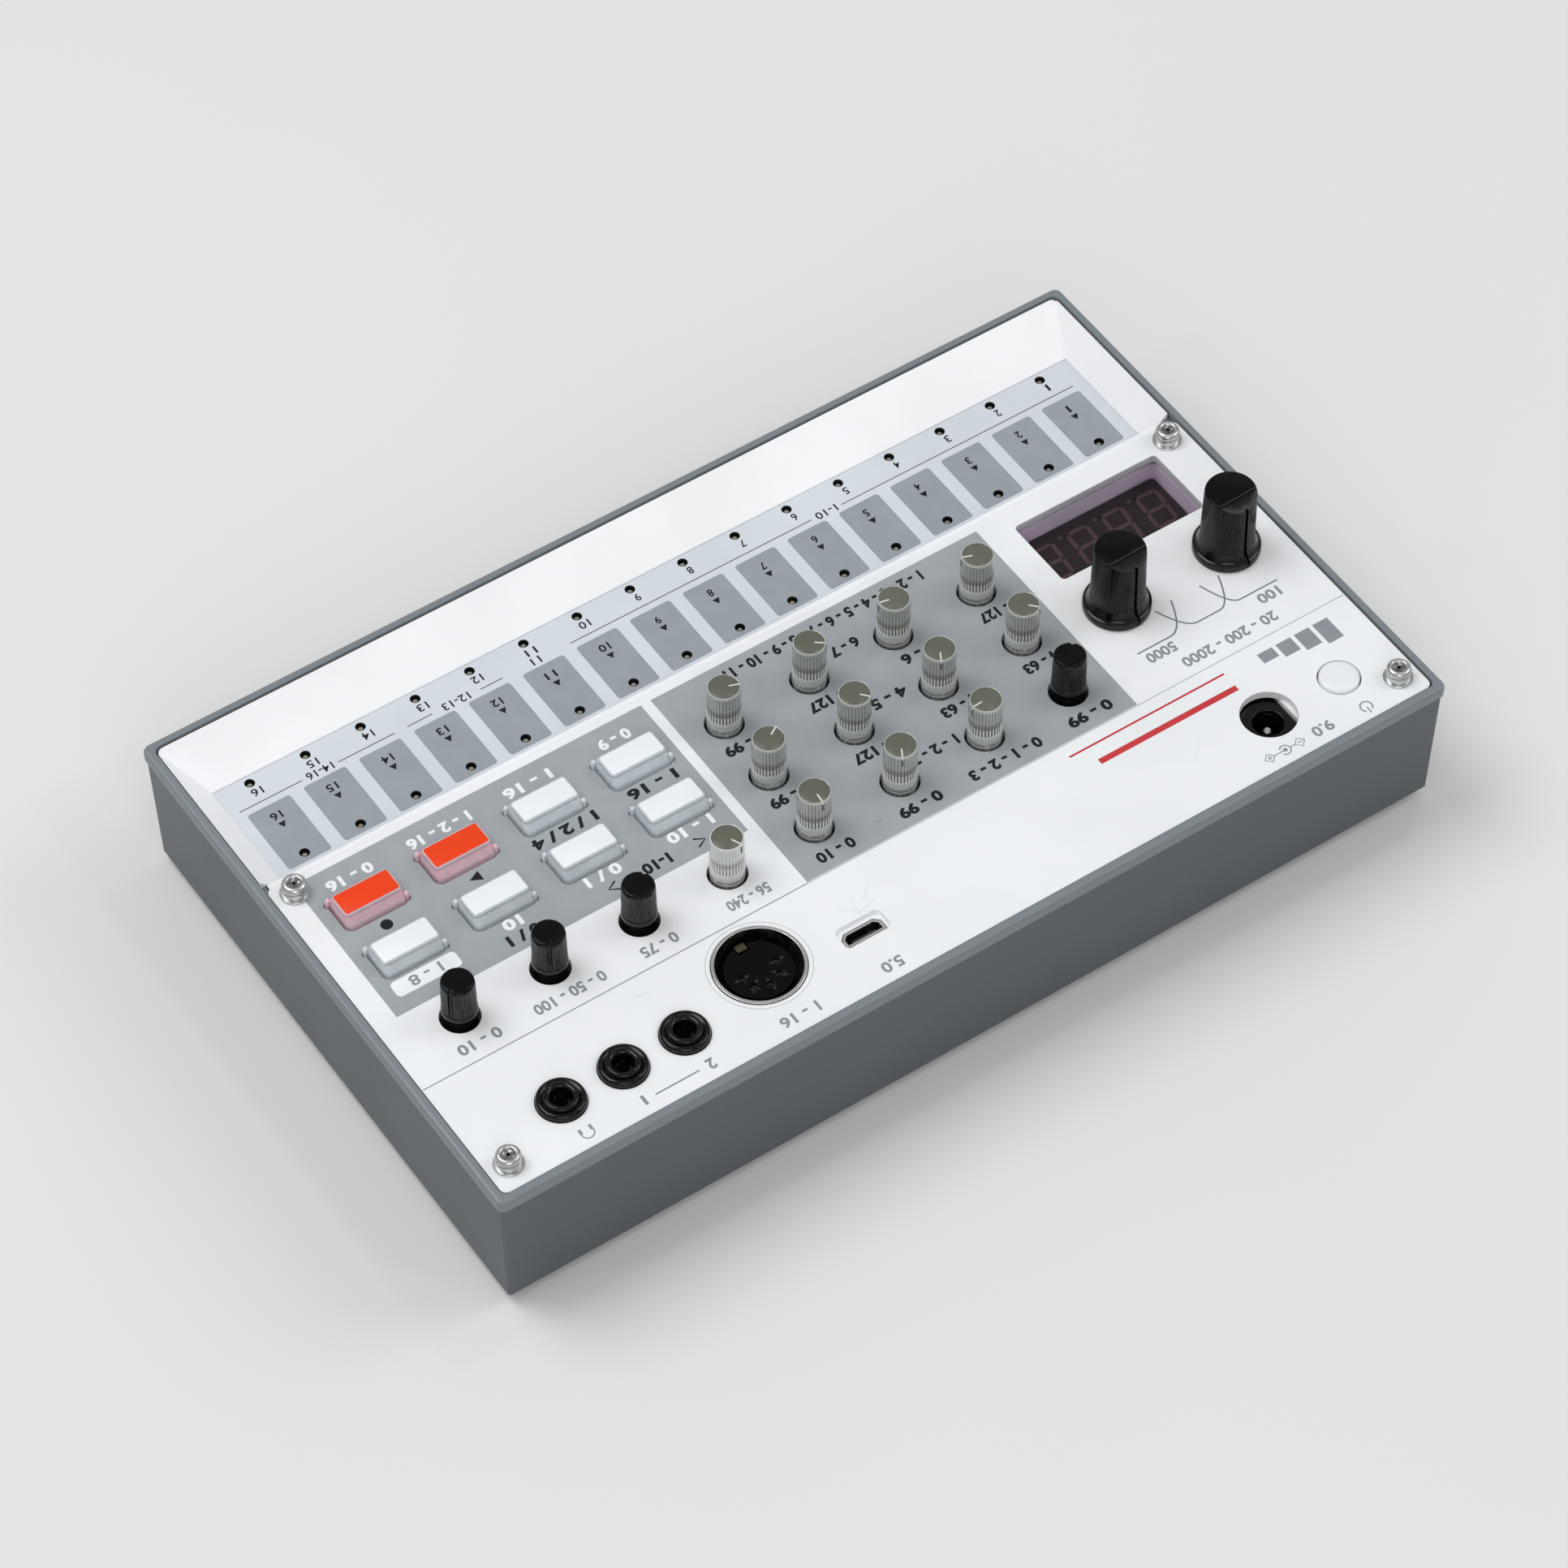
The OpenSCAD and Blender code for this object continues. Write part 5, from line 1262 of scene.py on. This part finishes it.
class DRUM_OT_printing(bpy.types.Operator):
    """Figures, lines and signs on the panel and the key board"""
    bl_idname = "drum.printing"
    bl_label = "Printing"

    def execute(self, context):
        h = settings().printing.figure_h / MM
        black, white, grey, thin, red, dark, wear = (Print(PANEL_Z) for _ in range(7))
        black.rows(
            h, 0.045,
            ("0 - 99", -46.6, -37.6, 27.6), ("0 - 1 - 2 - 3", -31.7, -17.0, 27.6),
            ("0 - 99", -11.0, -2.4, 27.6), ("0 - 10", 7.0, 14.5, 27.6),
            ("-64 - 63", -48.0, -38.4, 13.6), ("-64 - 63", -31.0, -21.0, 13.6),
            ("0 - 127", -12.4, -2.6, 13.6), ("0 - 99", 6.5, 14.5, 13.6),
            ("0 - 127", -47.0, -38.7, -0.1), ("-6 - 6", -30.0, -22.2, -0.1),
            ("0 - 127", -12.4, -2.7, -0.1), ("0 - 99", 6.5, 14.5, -0.1),
            ("1 - 2 - 3", -20.2, -10.8, 19.2), ("4 - 5", -19.2, -12.0, 5.3),
            ("6 - 7", -18.6, -12.8, -8.4),
            ("1 - 2 - 3 - 4 - 5 - 6 - 7 - 8 - 9 - 10 - 11", -36.3, 5.0, -14.6),
            ("1-10", 34.5, 40.0, 13.1), ("0 / 1", 60.5, 66.8, 13.1), ("1 - 16", 23.6, 33.3, -1.6),
            ("1 / 2 / 4", 39.8, 52.5, -1.6))
        for x, way in ((28.5, 1), (46.0, -1)):
            black.line([(x + way * 0.9, 14.1), (x - way * 0.9, 13.1), (x + way * 0.9, 12.1)], 0.36)
        black.shape([(63.0, -2.7), (65.2, -1.6), (63.0, -0.5)])
        black.disc(81.5, -1.6, 1.1)
        white.rows(
            h, 0.045,
            ("1 - 10", 24.0, 33.0, 10.0), ("0 / 1", 42.5, 49.5, 10.0), ("10", 62.2, 65.8, 10.0),
            ("0 - 9", 25.3, 31.6, -13.6), ("1 - 16", 41.3, 50.7, -13.6),
            ("1 - 2 - 16", 57.6, 69.9, -13.6), ("0 - 16", 76.9, 85.8, -13.6))
        white.shape(rounded_loop(75.2, 9.2, 87.8, 12.6, 0.9))
        over = Print(PANEL_Z + 0.02 * MM)
        over.figures("1 - 8", 78.4, 84.6, 10.9, h, 0.02)
        grey.rows(
            h, 0.03,
            ("56 - 240", 24.2, 32.6, 27.6), ("0 - 75", 42.7, 49.8, 27.6),
            ("0 - 50 - 100", 57.0, 70.8, 27.6), ("0 - 10", 77.4, 85.6, 27.6),
            ("20 - 200 - 2000", -82.0, -62.0, 27.7), ("100", -86.0, -81.4, 23.5),
            ("5000", -63.4, -57.4, 23.5), ("9.0", -75.2, -71.0, 52.7), ("5.0", 14.5, 18.6, 52.7),
            ("1 - 16", 31.3, 38.8, 52.7), ("2", 51.9, 53.4, 52.7))
        grey.figures("1", 65.4, 66.0, 52.7, h, 0)
        grey.bar(55.0, 52.55, 63.6, 52.85)
        self.signs(grey)
        self.curves(dark)
        dark.arc(1.2, 26.0, 0.6, 20, 160, 0.14, 8)
        self.wear(wear)
        thin.line([(-94.4, 30.7), (18.6, 30.7)], 0.18)
        grey.line([(18.6, 30.7), (94.4, 30.7)], 0.2)
        # Painted shade: a thin grey ring round the round socket stands for the shade line of a shallow
        # groove in the panel
        thin.disc(*ROUND_SOCKET, 9.05, 8.95, 72)
        for k, x in enumerate((-88.8, -84.8, -80.8, -76.8)):
            grey.bar(x, 33.2, x + 3.2, 38.2 - 0.9 * k)
        red.bar(-66.4, 36.5, -37.2, 37.7)
        red.bar(-66.4, 33.2, -33.5, 33.6)
        for sheet, name, look in (
                (black, "black_printing", "black_ink"), (white, "white_printing", "white_ink"),
                (grey, "grey_printing", "grey_ink"), (over, "pill_figures", "grey_ink"),
                (thin, "thin_lines", "light_ink"), (red, "red_stripes", "red_ink"),
                (dark, "response_curves", "dark_ink"), (wear, "wear_marks", "wear")):
            sheet.finish(name, look)
        self.key_board()
        return {"FINISHED"}

    def signs(self, grey):
        """Power sign, polarity sign and headphone sign."""
        grey.arc(-82.2, 53.0, 1.1, 125, 415, 0.28)
        grey.line([(-82.2, 53.1), (-82.2, 54.5)], 0.28)
        for x, plus in ((-68.0, False), (-61.6, True)):
            grey.line([(x - 1, 52.8), (x, 53.8), (x + 1, 52.8), (x, 51.8), (x - 1, 52.8)], 0.2)
            grey.line([(x - 0.45, 52.8), (x + 0.45, 52.8)], 0.18)
            if plus:
                grey.line([(x, 52.35), (x, 53.25)], 0.18)
        grey.arc(-64.9, 52.8, 1.0, 35, 325, 0.24)
        grey.disc(-64.9, 52.8, 0.42, steps=16)
        grey.line([(-67.0, 52.8), (-65.9, 52.8)], 0.2)
        grey.line([(-64.9, 52.8), (-62.6, 52.8)], 0.2)
        grey.arc(76.8, 52.8, 1.15, -30, 210, 0.24)
        for x in (-1, 1):
            grey.shape(rounded_loop(76.8 + x * 1.0 - 0.28, 51.6, 76.8 + x * 1.0 + 0.28, 52.7, 0.15, 3))

    def wear(self, marks):
        """Light scratches near the round socket and beside the knobs."""
        for x0, y0, x1, y1 in (
                (10.2, 36.4, 12.9, 38.9), (11.6, 39.8, 15.4, 40.6), (14.2, 36.0, 15.1, 41.2),
                (13.0, 41.6, 17.8, 38.2), (-54.0, 43.0, -51.2, 45.6), (52.2, 35.0, 55.6, 34.2)):
            marks.line([(x0, y0), ((x0 + x1) / 2 + 0.12, (y0 + y1) / 2), (x1, y1)], 0.07)

    def curves(self, ink_sheet):
        """Low, middle and high response curves under the large knobs."""
        def ease(x0, y0, x1, y1, steps=14):
            """Flat start that bends over to a straight fall or rise."""
            return [(x0 + (x1 - x0) * k / steps, y0 + (y1 - y0) * (k / steps) ** 2.1)
                    for k in range(steps + 1)]
        low = [(-87.0, 21.4)] + ease(-79.0, 21.4, -74.9, 14.9)
        middle_rise = ease(-74.4, 21.4, -79.0, 14.8)[::-1]
        middle_fall = ease(-69.8, 21.4, -65.0, 15.2)
        high = ease(-63.8, 21.4, -68.8, 14.8)[::-1] + [(-56.7, 21.4)]
        for points in (low, middle_rise + middle_fall, high):
            ink_sheet.line(points, 0.3)

    def key_board(self):
        """Sixteen printed keys, their figures and the lines over them."""
        use = settings().printing
        keys, black, lines = Print(KEY_Z), Print(KEY_Z + 0.01 * MM), Print(KEY_Z)
        figure = use.key_figure_h / MM
        for i in range(KEYS):
            x = key_x(i)
            hole = circle(x + LIGHT_SHIFT, KEY_LIGHTS_Y, 0.96, 24)
            keys.shape(rounded_loop(x - 4.22, -37.9, x + 4.22, -23.8, 0.6), hole)
            half = 0.26 if i == 0 else 0.5 if i < 9 else 1.05
            black.figures(str(i + 1), x - half, x + half, -35.1, figure, 0.02)
            black.shape([(x - 0.75, -33.55), (x + 0.75, -33.55), (x, -32.25)])
            black.figures(str(i + 1), x - half, x + half, -41.5, figure, 0.01)
        line_y = -39.3
        for x0, x1 in (
                (-87.2, -36.3), (-29.8, 21.1), (35.0, 39.6), (49.4, 54.4), (57.0, 68.4), (75.6, 88.0)):
            lines.line([(x0, line_y), (x1, line_y)], 0.16)
        black.rows(
            figure, 0.01, ("1-10", -35.3, -30.9, line_y), ("11", 27.2, 29.0, line_y),
            ("12-13", 41.8, 47.2, line_y), ("14-16", 69.4, 74.6, line_y))
        keys.finish("printed_keys", "key", "key_face")
        black.finish("key_figures", "black_ink", "key_face")
        lines.finish("key_lines", "black_ink", "key_face")


class DRUM_OT_stage(bpy.types.Operator):
    """Floor, soft lamps, even light and camera"""
    bl_idname = "drum.stage"
    bl_label = "Stage"

    def execute(self, context):
        use = settings().stage
        scene = context.scene
        scene.view_settings.view_transform = "Standard"
        bm = bmesh.new()
        bmesh.ops.create_grid(bm, x_segments=2, y_segments=2, size=3)
        mesh = bpy.data.meshes.new("floor")
        bm.to_mesh(mesh)
        bm.free()
        mesh.materials.append(finish("floor"))
        floor = bpy.data.objects.new("floor", mesh)
        scene.collection.objects.link(floor)
        self.lamp("key_lamp", (0.45, -0.5, 1.3), 0.9, use.key_power)
        self.lamp("side_lamp", (-0.9, 0.35, 0.9), 0.7, use.side_power)
        self.lamp("front_lamp", (0.55, 1.05, 0.85), 1.0, use.front_power)
        for name, place in (
                ("left_glint", (0.95, -0.1, 0.95)), ("right_glint", (-0.35, 0.75, 1.05)),
                ("top_glint", (-0.42, -0.15, 1.15))):
            self.lamp(name, place, 0.08, use.glint_power)
        world = bpy.data.worlds.new("even_light")
        world.use_nodes = True
        back = world.node_tree.nodes["Background"]
        back.inputs["Color"].default_value = (0.97, 0.985, 1.0, 1)
        back.inputs["Strength"].default_value = use.fill
        scene.world = world
        data = bpy.data.cameras.new("camera")
        data.lens = use.lens
        data.sensor_width = 36
        data.clip_end = 20
        camera = bpy.data.objects.new("camera", data)
        right = Vector((-0.82792, 0.56084, -0.00358))
        up = Vector((-0.43905, -0.64413, 0.62636))
        back_way = Vector((0.34898, 0.52015, 0.77953))
        turn = Matrix((right, up, back_way)).transposed().to_4x4()
        camera.matrix_world = Matrix.Translation((0.34560, 0.51106, 0.77929)) @ turn
        scene.collection.objects.link(camera)
        scene.camera = camera
        return {"FINISHED"}

    def lamp(self, name, place, size, watts):
        """A round soft lamp that faces the middle of the floor."""
        data = bpy.data.lights.new(name, "AREA")
        data.shape = "DISK"
        data.size = size
        data.energy = watts
        lamp = bpy.data.objects.new(name, data)
        lamp.location = place
        lamp.rotation_euler = (-Vector(place)).to_track_quat("-Z", "Y").to_euler()
        bpy.context.scene.collection.objects.link(lamp)


OPERATORS = (
    DRUM_OT_case, DRUM_OT_inside, DRUM_OT_tray, DRUM_OT_panel, DRUM_OT_display,
    DRUM_OT_small_knobs, DRUM_OT_large_knobs, DRUM_OT_buttons, DRUM_OT_power_button,
    DRUM_OT_sockets, DRUM_OT_screws, DRUM_OT_printing, DRUM_OT_stage)


class DRUM_PT_panel(bpy.types.Panel):
    """Lists the pieces that can be built"""
    bl_idname = "DRUM_PT_panel"
    bl_label = "Drum machine"
    bl_space_type = "VIEW_3D"
    bl_region_type = "UI"
    bl_category = "Drum machine"

    def draw(self, context):
        for operator in OPERATORS:
            self.layout.operator(operator.bl_idname)
        use = context.scene.drum_machine
        for group in (use.case, use.printing, use.knobs, use.buttons, use.stage):
            box = self.layout.box()
            for key in group.__annotations__:
                box.prop(group, key)


CLASSES = (
    CaseSettings, PrintSettings, KnobSettings, ButtonSettings, StageSettings,
    DrumMachineSettings, *OPERATORS, DRUM_PT_panel)


def register():
    for cls in CLASSES:
        bpy.utils.register_class(cls)
    bpy.types.Scene.drum_machine = PointerProperty(type=DrumMachineSettings)


def unregister():
    del bpy.types.Scene.drum_machine
    for cls in reversed(CLASSES):
        bpy.utils.unregister_class(cls)


def main():
    register()
    for operator in OPERATORS:
        group, name = operator.bl_idname.split(".")
        getattr(getattr(bpy.ops, group), name)()


if __name__ == "__main__":
    main()
